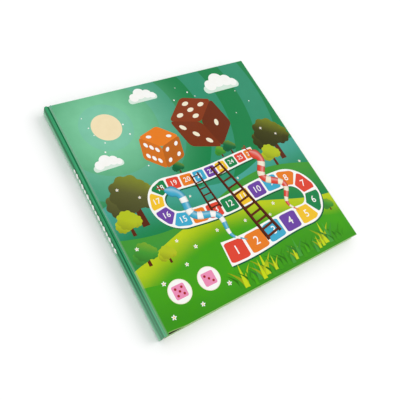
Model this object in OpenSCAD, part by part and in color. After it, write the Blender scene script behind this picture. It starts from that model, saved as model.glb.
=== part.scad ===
// Folding game case, closed: two covers and a spine joined by two grooved paper hinges,
// with a playing field on a magnetic sheet in the front cover and a tray in the back cover.
// The case lies on its back cover. X runs from the spine to the fore-edge, Y from tail to head.

/* [Case] */
// Width of the closed case, from the spine's face to the fore-edge
case_w = 205; // [165:1:250]
// Height of the closed case, along the spine
case_h = 205; // [165:1:250]
// Thickness of the stiff boards in the covers and the spine
board_t = 2.2; // [1.6:0.1:3]
// Thickness of the printed wrapping sheet
wrap_t = 0.25; // [0.15:0.05:0.4]
// Thickness of the lining sheets
lining_t = 0.25; // [0.15:0.05:0.4]
// Rounding of the covers' wrapped edges
edge_r = 0.6; // [0.45:0.05:0.9]
// Width of the wrapping sheet folded over onto the inside of the covers
turn_in = 14; // [8:1:20]
// Border of folded-over wrapping sheet left bare by the linings
lining_margin = 3; // [2:0.5:5]

/* [Hinges] */
// Width of each hinge groove, between the rounded edges on its two sides
groove_w = 4.2; // [3.8:0.1:6]
// Depth of each hinge groove
groove_d = 1.2; // [0.7:0.1:1.4]
// Gap between the spine's board and the strip that bends round it
strip_gap = 0.05; // [0.03:0.01:0.08]

/* [Playing side] */
// Setback of the inner panels from the covers' hinge edges
panel_setback = 2.5; // [1.5:0.5:5]
// Border left between the inner panels and the covers' edges
panel_margin = 4.5; // [3.5:0.5:8]
// Corner radius of the inner panels
panel_corner_r = 2; // [0.5:0.5:5]
// Thickness of the magnetic sheet
sheet_t = 1; // [0.5:0.1:1.5]
// Thickness of the printed playing field
field_t = 0.25; // [0.15:0.05:0.4]
// Border of magnetic sheet left bare by the playing field
field_margin = 0.6; // [0.3:0.1:2]
// Gap between the playing field and the tray when the case is closed
closing_gap = 0.3; // [0.2:0.05:0.4]

/* [Tray] */
// Thickness of the tray's frame
tray_t = 3.4; // [3.2:0.1:4.5]
// Thickness of the tray's printed face
face_t = 0.25; // [0.15:0.05:0.4]
// Diameter of the spinner's well
well_d = 104; // [80:1:112]
// Distance of the spinner's centre from the tray's head edge
well_from_head = 66; // [60:1:75]
// Distance of the counters' row from the tray's tail edge
row_from_tail = 33; // [28:1:36]
// Gap between a counter and its well
well_gap = 0.5; // [0.3:0.1:1]
// Diameter of the finger notch beside each counter
notch_d = 13; // [10:0.5:15]
// Distance of the finger notch from the counter's centre
notch_offset = 9; // [8:0.5:11]

/* [Spinner] */
// Thickness of the spinner's dial
dial_t = 1.2; // [0.8:0.1:1.4]
// Gap between the dial's rim and its well
dial_gap = 0.15; // [0.1:0.05:0.3]
// Diameter of the post where it passes through the dial
post_d = 5; // [4.5:0.5:7]
// Diameter of the post's shoulder on the dial
shoulder_d = 9; // [8:0.5:11]
// Thickness of the post's shoulder
shoulder_t = 0.4; // [0.3:0.1:0.6]
// Diameter of the journal that carries the arrow
journal_d = 4; // [3:0.5:4.5]
// Radial clearance between the arrow and its journal
run_gap = 0.06; // [0.03:0.01:0.1]
// Thickness of the arrow
arrow_t = 0.9; // [0.6:0.1:1]
// Play of the arrow between the shoulder and the cap
arrow_play = 0.2; // [0.1:0.05:0.3]
// Reach of the arrow's point from its centre
point_reach = 42; // [30:1:46]
// Reach of the arrow's tail from its centre
tail_reach = 27; // [20:1:34]
// Width of the arrow's shaft
shaft_w = 5; // [3:0.5:7]
// Width of the arrow's head
head_w = 14; // [10:1:18]
// Length of the arrow's head
head_len = 17; // [12:1:22]
// Diameter of the arrow's hub
hub_d = 13; // [11:0.5:16]
// Diameter of the disc on the arrow's tail
tail_d = 9; // [7:0.5:13]
// Diameter of the cap
cap_d = 8.5; // [7:0.5:11]
// Thickness of the cap
cap_t = 0.75; // [0.6:0.05:0.9]
// Width of the cap's bevel
cap_bevel = 0.3; // [0.1:0.05:0.4]
// Diameter of the stud that holds the cap
stud_d = 2.6; // [2:0.1:2.8]
// Height of the stud inside the cap
stud_h = 0.45; // [0.3:0.05:0.5]

/* [Counters] */
// Diameter of a counter
counter_d = 17; // [14:0.5:19]
// Height of a counter
counter_h = 3.5; // [3.2:0.1:3.6]
// Bevel on a counter's rims
counter_bevel = 0.45; // [0.2:0.05:0.6]
// Diameter of the dish in a counter's top
dish_d = 12; // [9:0.5:13]
// Depth of the dish
dish_depth = 0.6; // [0.3:0.1:0.8]
// Diameter of the button in the middle of the dish
button_d = 6; // [4:0.5:8]
// Radius of the grip groove round a counter's side
grip_r = 0.7; // [0.4:0.1:0.9]
// Depth of the grip groove
grip_depth = 0.4; // [0.2:0.05:0.5]
// Diameter of the magnet in a counter's underside
magnet_d = 10; // [7:0.5:11]
// Thickness of the magnet
magnet_t = 1.5; // [1:0.1:1.7]
// Gap between the magnet's rim and its pocket
magnet_gap = 0.1; // [0.05:0.05:0.2]
// Spacing of the counters in their row
counter_pitch = 42; // [36:1:44]

/* [Hidden] */
$fn = 96;
// Overrun that takes each cut clear of the faces it opens
over = board_t / 2;
// Cover stack: sheet, board, folded-over sheet and lining
inner_z = wrap_t + board_t;
turned_z = inner_z + wrap_t;
cover_t = turned_z + lining_t;
tray_top = cover_t + tray_t + face_t;
case_t = tray_top + closing_gap + field_t + sheet_t + cover_t;
spine_x = -case_w / 2;
fore_x = case_w / 2;
head_y = case_h / 2;
// Rounded spine edge: the hinge axes run through its centres
bend_r = board_t / 2 + wrap_t;
bend_x = spine_x + bend_r;
edge_x = bend_x + groove_w;
// Groove of three tangent arcs: turn of each arc and radius of the middle one
groove_turn = 2 * atan(2 * groove_d / groove_w);
strip_t = wrap_t - strip_gap;
bend_mid_r = bend_r - strip_t / 2;
valley_r = groove_w / (2 * sin(groove_turn)) - bend_mid_r;
valley_z = bend_r - (bend_mid_r + valley_r) * cos(groove_turn);
// Inner panels
panel_x0 = edge_x + panel_setback;
panel_x1 = fore_x - panel_margin;
panel_w = panel_x1 - panel_x0;
panel_h = case_h - 2 * panel_margin;
panel_cx = (panel_x0 + panel_x1) / 2;
// Spinner
well_y = panel_h / 2 - well_from_head;
shoulder_z = cover_t + dial_t;
journal_z = shoulder_z + shoulder_t;
arrow_z = journal_z + arrow_play / 2;
cap_z = journal_z + arrow_t + arrow_play;
// Counters
row_y = row_from_tail - panel_h / 2;
counter_steps = [-1.5, -0.5, 0.5, 1.5];

// Extrudes an XZ outline along Y, centred on the case
module along_y(length) {
    rotate([90, 0, 0]) linear_extrude(height = length, center = true) children();
}

// Turns a back-cover shape over into the front cover's place
module front_side() {
    translate([0, 0, case_t]) mirror([0, 0, 1]) children();
}

// Band of a circle between two angles less than a half turn apart
module arc_band(r, t, from, to) {
    reach = 2 * r / cos((to - from) / 2);
    intersection() {
        difference() {
            circle(r = r);
            circle(r = r - t);
        }
        polygon([[0, 0], reach * [cos(from), sin(from)], reach * [cos(to), sin(to)]]);
    }
}

// Rectangle with round corners, between two corners
module round_box(x0, x1, y0, y1, r) {
    translate([x0 + r, y0]) square([x1 - x0 - 2 * r, y1 - y0]);
    translate([x0, y0 + r]) square([x1 - x0, y1 - y0 - 2 * r]);
    for (x = [x0 + r, x1 - r], y = [y0 + r, y1 - r]) translate([x, y]) circle(r = r);
}

// Slab of a cover with round edges at fore-edge, head and tail, and a square hinge edge
module cover_slab(inset, z0, z1, r) {
    intersection() {
        along_y(case_h) intersection() {
            round_box(edge_x - case_w, fore_x - inset, z0, z1, r);
            translate([edge_x, z0]) square([case_w, z1 - z0]);
        }
        rotate([90, 0, 90]) linear_extrude(height = 2 * case_w, center = true)
            round_box(inset - head_y, head_y - inset, z0, z1, r);
    }
}

// Board of a cover, rounded along its hinge edge
module cover_board() {
    cover_slab(wrap_t, wrap_t, inner_z, edge_r - wrap_t);
    along_y(case_h - 2 * wrap_t) intersection() {
        translate([edge_x, bend_r]) circle(d = board_t);
        translate([edge_x - board_t, 0]) square([board_t, 2 * bend_r]);
    }
}

// Window inside the folded-over sheet, from a start near the hinge edge
module cover_window(x0, z1) {
    translate([x0, turn_in - head_y, inner_z])
        cube([fore_x - turn_in - x0, case_h - 2 * turn_in, z1 - inner_z]);
}

// Printed sheet wrapped round a cover's board and folded over inside
module cover_wrap() {
    difference() {
        cover_slab(0, 0, turned_z, edge_r);
        cover_slab(wrap_t, wrap_t, inner_z, edge_r - wrap_t);
        cover_window(edge_x - over, turned_z + over);
    }
}

// Lining sheet, filling the window and lapping onto the folded-over sheet
module cover_lining() {
    cover_window(edge_x, turned_z);
    translate([edge_x, lining_margin - head_y, turned_z])
        cube([fore_x - lining_margin - edge_x, case_h - 2 * lining_margin, lining_t]);
}

// Flexible strip of sheet that dips into the hinge groove
module hinge_strip() {
    along_y(case_h) {
        translate([bend_x, bend_r]) arc_band(bend_r, strip_t, -90, groove_turn - 90);
        translate([bend_x + groove_w / 2, valley_z])
            arc_band(valley_r + strip_t / 2, strip_t, 90 - groove_turn, 90 + groove_turn);
        translate([edge_x, bend_r]) arc_band(bend_r, strip_t, -90 - groove_turn, -90);
    }
}

// Outline of the spine's board with its two rounded edges
module spine_outline() {
    translate([bend_x - board_t / 2, bend_r]) square([board_t, case_t - 2 * bend_r]);
    for (z = [bend_r, case_t - bend_r]) translate([bend_x, z]) circle(d = board_t);
}

module back_board() {
    color("#a39a8c") cover_board();
}

module back_wrap() {
    color("#3f9e5f") cover_wrap();
}

module back_lining() {
    color("#e9e4d2") cover_lining();
}

module back_hinge() {
    color("#167a4a") hinge_strip();
}

module front_board() {
    color("#a39a8c") front_side() cover_board();
}

module front_wrap() {
    color("#3f9e5f") front_side() cover_wrap();
}

module front_lining() {
    color("#e9e4d2") front_side() cover_lining();
}

module front_hinge() {
    color("#167a4a") front_side() hinge_strip();
}

module spine_board() {
    color("#a39a8c") along_y(case_h - 2 * wrap_t) spine_outline();
}

module spine_wrap() {
    color("#167a4a") {
        along_y(case_h) {
            translate([bend_x, bend_r]) arc_band(bend_r, wrap_t, 180, 270);
            translate([bend_x, case_t - bend_r]) arc_band(bend_r, wrap_t, 90, 180);
            translate([spine_x, bend_r]) square([wrap_t, case_t - 2 * bend_r]);
        }
        for (side = [-1, 1]) translate([0, side * (case_h - wrap_t) / 2, 0]) along_y(wrap_t) spine_outline();
    }
}

module spine_lining() {
    color("#e9e4d2") translate([bend_x + board_t / 2, lining_margin - head_y, bend_r])
        cube([lining_t, case_h - 2 * lining_margin, case_t - 2 * bend_r]);
}

// Outline of an inner panel
module panel_outline(inset) {
    round_box(panel_x0 + inset, panel_x1 - inset, inset - panel_h / 2, panel_h / 2 - inset, panel_corner_r);
}

module magnetic_sheet() {
    color("#3a3a3c") front_side() translate([0, 0, cover_t]) linear_extrude(sheet_t) panel_outline(0);
}

module playing_field() {
    color("#8ccbbe") front_side() translate([0, 0, cover_t + sheet_t]) linear_extrude(field_t)
        panel_outline(field_margin);
}

// Places a shape at each counter
module at_counters() {
    for (step = counter_steps) at_counter(step) children();
}

// Places a shape at one counter, counted from the middle of the row
module at_counter(step) {
    translate([panel_cx + step * counter_pitch, row_y, 0]) children();
}

// Tray outline with the spinner's well and the four keyhole wells cut out
module tray_outline() {
    difference() {
        panel_outline(0);
        translate([panel_cx, well_y]) circle(d = well_d);
        at_counters() {
            circle(d = counter_d + 2 * well_gap);
            translate([0, -notch_offset]) circle(d = notch_d);
        }
    }
}

module tray_frame() {
    color("#b9b1a0") translate([0, 0, cover_t]) linear_extrude(tray_t) tray_outline();
}

module tray_face() {
    color("#52b0a0") translate([0, 0, cover_t + tray_t]) linear_extrude(face_t) tray_outline();
}

module spinner_dial() {
    color("#f4efdf") translate([panel_cx, well_y, cover_t]) difference() {
        cylinder(d = well_d - 2 * dial_gap, h = dial_t);
        translate([0, 0, -over]) cylinder(d = post_d, h = dial_t + 2 * over);
    }
}

module spinner_post() {
    color("#f2f2f0") translate([panel_cx, well_y, 0]) {
        translate([0, 0, cover_t]) cylinder(d = post_d, h = dial_t);
        translate([0, 0, shoulder_z]) cylinder(d = shoulder_d, h = shoulder_t);
        translate([0, 0, journal_z]) cylinder(d = journal_d, h = cap_z - journal_z);
        translate([0, 0, cap_z]) cylinder(d = stud_d, h = stud_h);
    }
}

module spinner_cap() {
    color("#f2f2f0") translate([panel_cx, well_y, cap_z]) difference() {
        union() {
            cylinder(d = cap_d, h = cap_t - cap_bevel);
            translate([0, 0, cap_t - cap_bevel])
                cylinder(d1 = cap_d, d2 = cap_d - 2 * cap_bevel, h = cap_bevel);
        }
        translate([0, 0, -over]) cylinder(d = stud_d, h = stud_h + over);
    }
}

module spinner_arrow() {
    color("#d9402f") translate([panel_cx, well_y, arrow_z]) linear_extrude(arrow_t) difference() {
        union() {
            circle(d = hub_d);
            translate([-shaft_w / 2, -tail_reach]) square([shaft_w, tail_reach + point_reach - head_len]);
            translate([0, -tail_reach]) circle(d = tail_d);
            polygon([[-head_w / 2, point_reach - head_len], [head_w / 2, point_reach - head_len], [0, point_reach]]);
        }
        circle(d = journal_d + 2 * run_gap);
    }
}

// Turned body of a counter with a dished top, a grip groove and a magnet pocket
module counter(step) {
    at_counter(step) translate([0, 0, cover_t]) difference() {
        union() {
            cylinder(d1 = counter_d - 2 * counter_bevel, d2 = counter_d, h = counter_bevel);
            translate([0, 0, counter_bevel]) cylinder(d = counter_d, h = counter_h - 2 * counter_bevel);
            translate([0, 0, counter_h - counter_bevel])
                cylinder(d1 = counter_d, d2 = counter_d - 2 * counter_bevel, h = counter_bevel);
        }
        translate([0, 0, counter_h - dish_depth]) difference() {
            cylinder(d = dish_d, h = dish_depth + over);
            cylinder(d = button_d, h = dish_depth);
        }
        translate([0, 0, counter_h / 2]) rotate_extrude()
            translate([counter_d / 2 + grip_r - grip_depth, 0]) circle(r = grip_r);
        translate([0, 0, -over]) cylinder(d = magnet_d + 2 * magnet_gap, h = magnet_t + over);
    }
}

module counter_red() {
    color("#d8382c") counter(counter_steps[0]);
}

module counter_yellow() {
    color("#f2c21d") counter(counter_steps[1]);
}

module counter_blue() {
    color("#2f8fd0") counter(counter_steps[2]);
}

module counter_purple() {
    color("#8a4aa8") counter(counter_steps[3]);
}

module counter_magnets() {
    color("#5b5d60") at_counters() translate([0, 0, cover_t]) cylinder(d = magnet_d, h = magnet_t);
}

back_board();
back_wrap();
back_lining();
back_hinge();
tray_frame();
tray_face();
spinner_dial();
spinner_post();
spinner_cap();
spinner_arrow();
counter_red();
counter_yellow();
counter_blue();
counter_purple();
counter_magnets();
spine_board();
spine_wrap();
spine_lining();
front_hinge();
front_board();
front_wrap();
front_lining();
magnetic_sheet();
playing_field();
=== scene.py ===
"""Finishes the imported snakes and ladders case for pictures: print, materials, studio and camera.

Lengths in the frame are metres, with X from the spine to the fore-edge, Y from tail to head and Z up.
Print is laid out in millimetres on the sheet that carries it.
"""
import logging
import math
from dataclasses import dataclass, replace
from enum import Enum
from functools import lru_cache
from typing import Any, ClassVar, NamedTuple, Protocol, Sequence

import bmesh
import bpy
import numpy as np
from mathutils import Matrix, Vector


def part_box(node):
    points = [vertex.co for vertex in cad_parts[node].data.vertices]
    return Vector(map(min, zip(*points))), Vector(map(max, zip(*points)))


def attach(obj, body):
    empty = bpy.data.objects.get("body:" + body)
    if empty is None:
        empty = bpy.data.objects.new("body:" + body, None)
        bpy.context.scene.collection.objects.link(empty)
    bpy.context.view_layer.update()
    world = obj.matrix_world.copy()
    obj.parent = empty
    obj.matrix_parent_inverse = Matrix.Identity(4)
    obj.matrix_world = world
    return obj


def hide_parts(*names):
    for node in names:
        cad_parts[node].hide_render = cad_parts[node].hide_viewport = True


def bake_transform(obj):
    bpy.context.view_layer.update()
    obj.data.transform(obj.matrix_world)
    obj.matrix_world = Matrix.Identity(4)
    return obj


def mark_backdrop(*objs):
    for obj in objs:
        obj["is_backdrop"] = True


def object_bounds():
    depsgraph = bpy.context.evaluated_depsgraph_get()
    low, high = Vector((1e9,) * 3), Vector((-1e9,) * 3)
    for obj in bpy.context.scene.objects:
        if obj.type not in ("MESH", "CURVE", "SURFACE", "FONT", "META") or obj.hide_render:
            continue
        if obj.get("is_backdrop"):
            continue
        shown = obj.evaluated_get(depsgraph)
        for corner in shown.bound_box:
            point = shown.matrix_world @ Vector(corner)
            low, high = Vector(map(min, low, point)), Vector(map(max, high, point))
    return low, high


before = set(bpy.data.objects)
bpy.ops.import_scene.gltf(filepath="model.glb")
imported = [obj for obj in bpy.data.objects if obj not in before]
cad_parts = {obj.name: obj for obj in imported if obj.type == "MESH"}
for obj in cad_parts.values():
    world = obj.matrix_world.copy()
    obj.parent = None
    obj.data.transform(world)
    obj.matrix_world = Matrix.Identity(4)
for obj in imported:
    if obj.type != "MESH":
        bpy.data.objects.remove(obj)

LOG = logging.getLogger("case")
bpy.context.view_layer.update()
MM = 0.001
ACROSS, ALONG, UP = Vector((1, 0, 0)), Vector((0, 1, 0)), Vector((0, 0, 1))
SMOOTH_ANGLE = math.radians(35)

# Ink: height of a layer and depth of a slab's foot, in millimetres, and the share of a layer between shapes of
# one motif that overlap.
INK_STEP = 0.01
INK_SINK = 0.03
OVERLAP_STEP = 0.3

# Press: share of the light that the whitest stock sends back, and the power that deepens the middle tones.
WHITEST = 0.96
DOT_GAIN = 1.12

# Digits: steps along a curve, extra weight of a stroke and distance within which points are one.
DIGIT_STEPS = 3
DIGIT_WEIGHT = 0.006
DIGIT_WELD = 1e-5

Array = np.ndarray
Point = tuple[float, float]
Triple = tuple[float, float, float]
Socket = bpy.types.NodeSocket
Slab = tuple[Array, Array, list[list[int]], Array]


class Ink(Enum):
    """Printing inks, pigments and the colours of stock, as sRGB hex codes."""

    MINT = "#91DAB2"
    MIST = "#8CCBBE"
    TEAL = "#52B0A0"
    FOREST = "#1E9156"
    PINE = "#167A4A"
    FERN = "#4FA63C"
    GRASS = "#50B00C"
    MEADOW = "#46A20E"
    LIME = "#C8D800"
    MOSS = "#BECC20"
    OLIVE = "#686A38"
    BARK = "#6B3010"
    COCOA = "#43190A"
    CORAL = "#E8503A"
    CRIMSON = "#B42A22"
    ORANGE = "#F08A24"
    YELLOW = "#F8CC2C"
    SKY = "#49B6D6"
    VIOLET = "#7A4FB0"
    ROSE = "#F29AC0"
    CREAM = "#F8F0D8"
    WHITE = "#FDFDFA"
    # FROST, SPROUT and SAGE also serve as painted highlights, SPRUCE and COCOA as painted shade, on folds,
    # rims and slit.
    FROST = "#C4E6D2"
    SPROUT = "#A8C680"
    SPRUCE = "#106C44"
    SAGE = "#4CAC7C"
    THICKET = "#4C4C12"
    RUST = "#964418"
    BOARD = "#A39A8C"
    BOARD_FLECK = "#6E6558"
    LINING = "#EFEAD9"
    LINING_FLECK = "#CDBFA0"
    TRAY = "#CFC6B2"
    TRAY_FLECK = "#8F8672"
    DIAL_FLECK = "#D9CCA8"
    RUBBER = "#2C2C2E"
    RUBBER_GRAIN = "#6A6A6E"
    FERRITE = "#4A4B4E"
    FERRITE_GRAIN = "#8A8B8E"

    @property
    def rgb(self) -> Array:
        """The ink in linear light."""
        return linear(self.value)


def linear(code: str) -> Array:
    """Turns a hex code into reflectance.

    The sRGB curve, ((c + 0.055) / 1.055) ** 2.4 above its straight foot, is raised to the press's dot gain.

    Args:
        code: Colour as #RRGGBB.

    Returns:
        Three linear channels, as shares of the light that the whitest stock sends back.
    """
    channel = np.array([int(code[i:i + 2], 16) for i in (1, 3, 5)]) / 255
    light = np.where(channel <= 0.04045, channel / 12.92, ((channel + 0.055) / 1.055) ** 2.4)
    return WHITEST * light ** DOT_GAIN


def mixed(low: Array, high: Array, share: Array | float) -> Array:
    """Mixes two linear colours.

    Args:
        low: Colour where share is 0.
        high: Colour where share is 1.
        share: One share or a grid of them.

    Returns:
        Colours, one for each share.
    """
    return low + (high - low) * np.asarray(share)[..., None]


def normals(path: Array, closed: bool = False) -> Array:
    """Left-hand unit normals of a path: its slope turned a quarter turn.

    Args:
        path: Points, shape (n, 2).
        closed: Whether the path joins up.

    Returns:
        Normals, shape (n, 2).
    """
    slope = np.roll(path, -1, 0) - np.roll(path, 1, 0) if closed else np.gradient(path, axis=0)
    slope = slope / np.linalg.norm(slope, axis=1, keepdims=True)
    return np.stack([-slope[:, 1], slope[:, 0]], -1)


def turned(grid: Array, degrees: float, centre: Point = (0, 0)) -> Array:
    """Turns a grid about the origin, then moves the origin to centre.

    Args:
        grid: Points, last axis (x, y).
        degrees: Turn, counter-clockwise.
        centre: New place of the origin.

    Returns:
        Moved points.
    """
    c, s = math.cos(math.radians(degrees)), math.sin(math.radians(degrees))
    return grid @ np.array([[c, s], [-s, c]]) + np.asarray(centre, float)


def polar(angle: Array, reach: Array | float) -> Array:
    """Points at an angle and a reach from the origin: reach * cos(angle), reach * sin(angle)."""
    return np.stack([reach * np.cos(angle), reach * np.sin(angle)], -1)


def rounded(half: Point, corner: float, steps: int = 4) -> Array:
    """Lays a grid over a rectangle with round corners.

    A grid point's part inside the straight middle stays. The rest of it, (e, g) in corner radii, goes from a
    square onto a disc: e * sqrt(1 - g * g / 2), g * sqrt(1 - e * e / 2).

    Args:
        half: Half the width and height.
        corner: Corner radius; with both halves equal to it the shape is a disc.
        steps: Grid steps across a corner.

    Returns:
        Grid round the origin, shape (n, m, 2).
    """
    rise = np.sin(np.linspace(0, math.pi / 2, steps + 1)) * corner
    axes = [np.concatenate([-(h - corner) - rise[::-1], h - corner + rise]) for h in half]
    axes = [np.unique(np.round(axis, 6)) for axis in axes]
    flat = np.stack(np.meshgrid(*axes, indexing="ij"), -1)
    core = np.clip(flat, [corner - h for h in half], [h - corner for h in half])
    rest = (flat - core) / corner
    return core + corner * rest * np.sqrt(1 - rest[..., ::-1] ** 2 / 2)


class Printed(Protocol):
    """Something that can be printed on a sheet."""

    def slab(self) -> Slab:
        """Returns plan points, heights, faces and inks of a closed slab."""


class Motif(Protocol):
    """A drawing made of printed shapes."""

    def patches(self) -> list[Printed]:
        """Returns its shapes."""


@dataclass(frozen=True)
class Patch:
    """A printed shape on a grid of points.

    Attributes:
        grid: Points in sheet millimetres, shape (n, m, 2).
        ink: Linear colours, one or a grid of them.
        layer: Place in the stack of layers, counted up from the sheet.
        closed: Whether the last row joins the first, as in a ring.
    """

    grid: Array
    ink: Array
    layer: float
    closed: bool = False

    def slab(self) -> Slab:
        """Thickens the shape: its grid on top, the same grid below and walls round the rim.

        Returns:
            Plan points, heights, faces and inks.
        """
        grid, ink = self.grid, np.broadcast_to(self.ink, self.grid.shape[:2] + (3,))
        along, across = np.gradient(grid, axis=0), np.gradient(grid, axis=1)
        if (along[..., 0] * across[..., 1] - along[..., 1] * across[..., 0]).sum() < 0:
            grid, ink = grid[:, ::-1], ink[:, ::-1]
        n, m = grid.shape[:2]
        top = np.arange(n * m).reshape(n, m)
        top = np.vstack([top, top[:1]]) if self.closed else top
        low = top + n * m
        caps = [np.stack([g[:-1, :-1], g[1:, :-1], g[1:, 1:], g[:-1, 1:]], -1) for g in (top, low)]
        rims = [(top[:-1, 0], top[1:, 0]), (top[1:, -1], top[:-1, -1])]
        if not self.closed:
            rims += [(top[-1, :-1], top[-1, 1:]), (top[0, 1:], top[0, :-1])]
        walls = [np.stack([a, a + n * m, b + n * m, b], -1) for a, b in rims]
        quads = np.vstack([caps[0].reshape(-1, 4), caps[1].reshape(-1, 4)[:, ::-1], *walls])
        height = np.repeat([self.layer * INK_STEP, -INK_SINK], n * m)
        plan, inks = (np.tile(part.reshape(n * m, -1), (2, 1)) for part in (grid, ink))
        return plan, height, quads.tolist(), inks


@lru_cache(maxsize=None)
def numeral_mesh(text: str) -> tuple[Array, list[list[int]]]:
    """Makes a closed mesh of a number, 1 high in the font's terms, whose caps lie at z 1 and -1.

    Args:
        text: Digits.

    Returns:
        Points, shape (n, 3), and faces.
    """
    curve = bpy.data.curves.new("numeral", "FONT")
    curve.body = text
    curve.align_x = "CENTER"
    curve.align_y = "CENTER"
    curve.extrude = 1
    curve.resolution_u = DIGIT_STEPS
    curve.offset = DIGIT_WEIGHT
    holder = bpy.data.objects.new("numeral", curve)
    mesh = bpy.data.meshes.new_from_object(holder)
    work = bmesh.new()
    work.from_mesh(mesh)
    bmesh.ops.remove_doubles(work, verts=work.verts, dist=DIGIT_WELD)
    bmesh.ops.recalc_face_normals(work, faces=work.faces)
    work.verts.index_update()
    points = np.array([vert.co for vert in work.verts])
    faces = [[vert.index for vert in face.verts] for face in work.faces]
    work.free()
    bpy.data.meshes.remove(mesh)
    bpy.data.objects.remove(holder)
    bpy.data.curves.remove(curve)
    return points, faces


@dataclass(frozen=True)
class Numeral:
    """A printed number.

    Attributes:
        text: Its digits.
        centre: Its middle.
        size: Height of the font.
        ink: Its ink.
        layer: Place in the stack of layers.
        turn: Turn in degrees.
    """

    text: str
    centre: Point
    size: float
    ink: Ink
    layer: float
    turn: float = 0.0

    def slab(self) -> Slab:
        """Sets the digits' upper cap at their layer and the lower one below the sheet.

        Returns:
            Plan points, heights, faces and inks.
        """
        points, faces = numeral_mesh(self.text)
        height = np.where(points[:, 2] > 0, self.layer * INK_STEP, -INK_SINK)
        plan = turned(points[:, :2] * self.size, self.turn, self.centre)
        return plan, height, faces, np.broadcast_to(self.ink.rgb, (len(points), 3))


def ribbon(path: Array, half_width: Array | float, ink: Array, layer: float, across: int = 2,
           closed: bool = False) -> Patch:
    """Lays a ribbon along a path: each point moves along the path's normal by its share of the half width.

    Args:
        path: Middle line, shape (n, 2).
        half_width: Half width, one or one for each point.
        ink: Colours, one or a grid of them.
        layer: Place in the stack of layers.
        across: Points across the ribbon.
        closed: Whether the path joins up.

    Returns:
        The ribbon.
    """
    share = np.linspace(-1, 1, across)[None, :, None]
    reach = np.broadcast_to(half_width, len(path))[:, None, None]
    return Patch(path[:, None] + share * reach * normals(path, closed)[:, None], ink, layer, closed)


def disc(centre: Point, radius: float, ink: Array, layer: float, steps: int = 6) -> Patch:
    """Prints a disc.

    Args:
        centre: Its middle.
        radius: Its radius.
        ink: Colours, one or a grid of them.
        layer: Place in the stack of layers.
        steps: Grid steps across its radius.

    Returns:
        The disc.
    """
    return Patch(rounded((radius, radius), radius, steps) + np.asarray(centre, float), ink, layer)


@dataclass(frozen=True)
class Ladder:
    """A plain wooden ladder between two points.

    Attributes:
        foot: Middle of its foot.
        top: Middle of its top.
        widths: Width at the foot and at the top.
        rungs: Number of rungs.
        layer: First of its layers.
        overhang: Length of the rails beyond each end.
        rung: Half thickness of a rung, as a share of its length.
        rail: Half width of a rail, as a share of the ladder's width.
        sunlit: Level of a rail's light side.
        shades: Tones across a rail.
    """

    foot: Point
    top: Point
    widths: Point
    rungs: int
    layer: float
    overhang: float = 2.5
    rung: float = 0.075
    rail: float = 0.11
    sunlit: float = 1.25
    shades: int = 4

    def patches(self) -> list[Printed]:
        """Two rails with a shaded side, over rungs set between them at even steps.

        Returns:
            Its shapes.
        """
        foot, top = np.array(self.foot), np.array(self.top)
        along = (top - foot) / np.linalg.norm(top - foot)
        side = np.array([along[1], -along[0]])
        share = np.linspace(0, 1, self.rungs)
        width = self.widths[0] + (self.widths[1] - self.widths[0]) * share
        middle = foot + (top - foot) * share[:, None]
        bars: list[Printed] = []
        for point, span in zip(middle, width):
            line = np.array([point - side * span / 2, point + side * span / 2])
            bars.append(ribbon(line, span * self.rung, Ink.BARK.rgb, self.layer))
        tone = mixed(Ink.BARK.rgb * self.sunlit, Ink.COCOA.rgb, np.linspace(0, 1, self.shades))
        for hand in (-1, 1):
            ends = [foot + hand * side * self.widths[0] / 2 - along * self.overhang,
                    top + hand * side * self.widths[1] / 2 + along * self.overhang]
            reach = np.array(self.widths) * self.rail
            bars.append(ribbon(np.array(ends), reach, tone, self.layer + 1, self.shades))
        return bars


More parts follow.
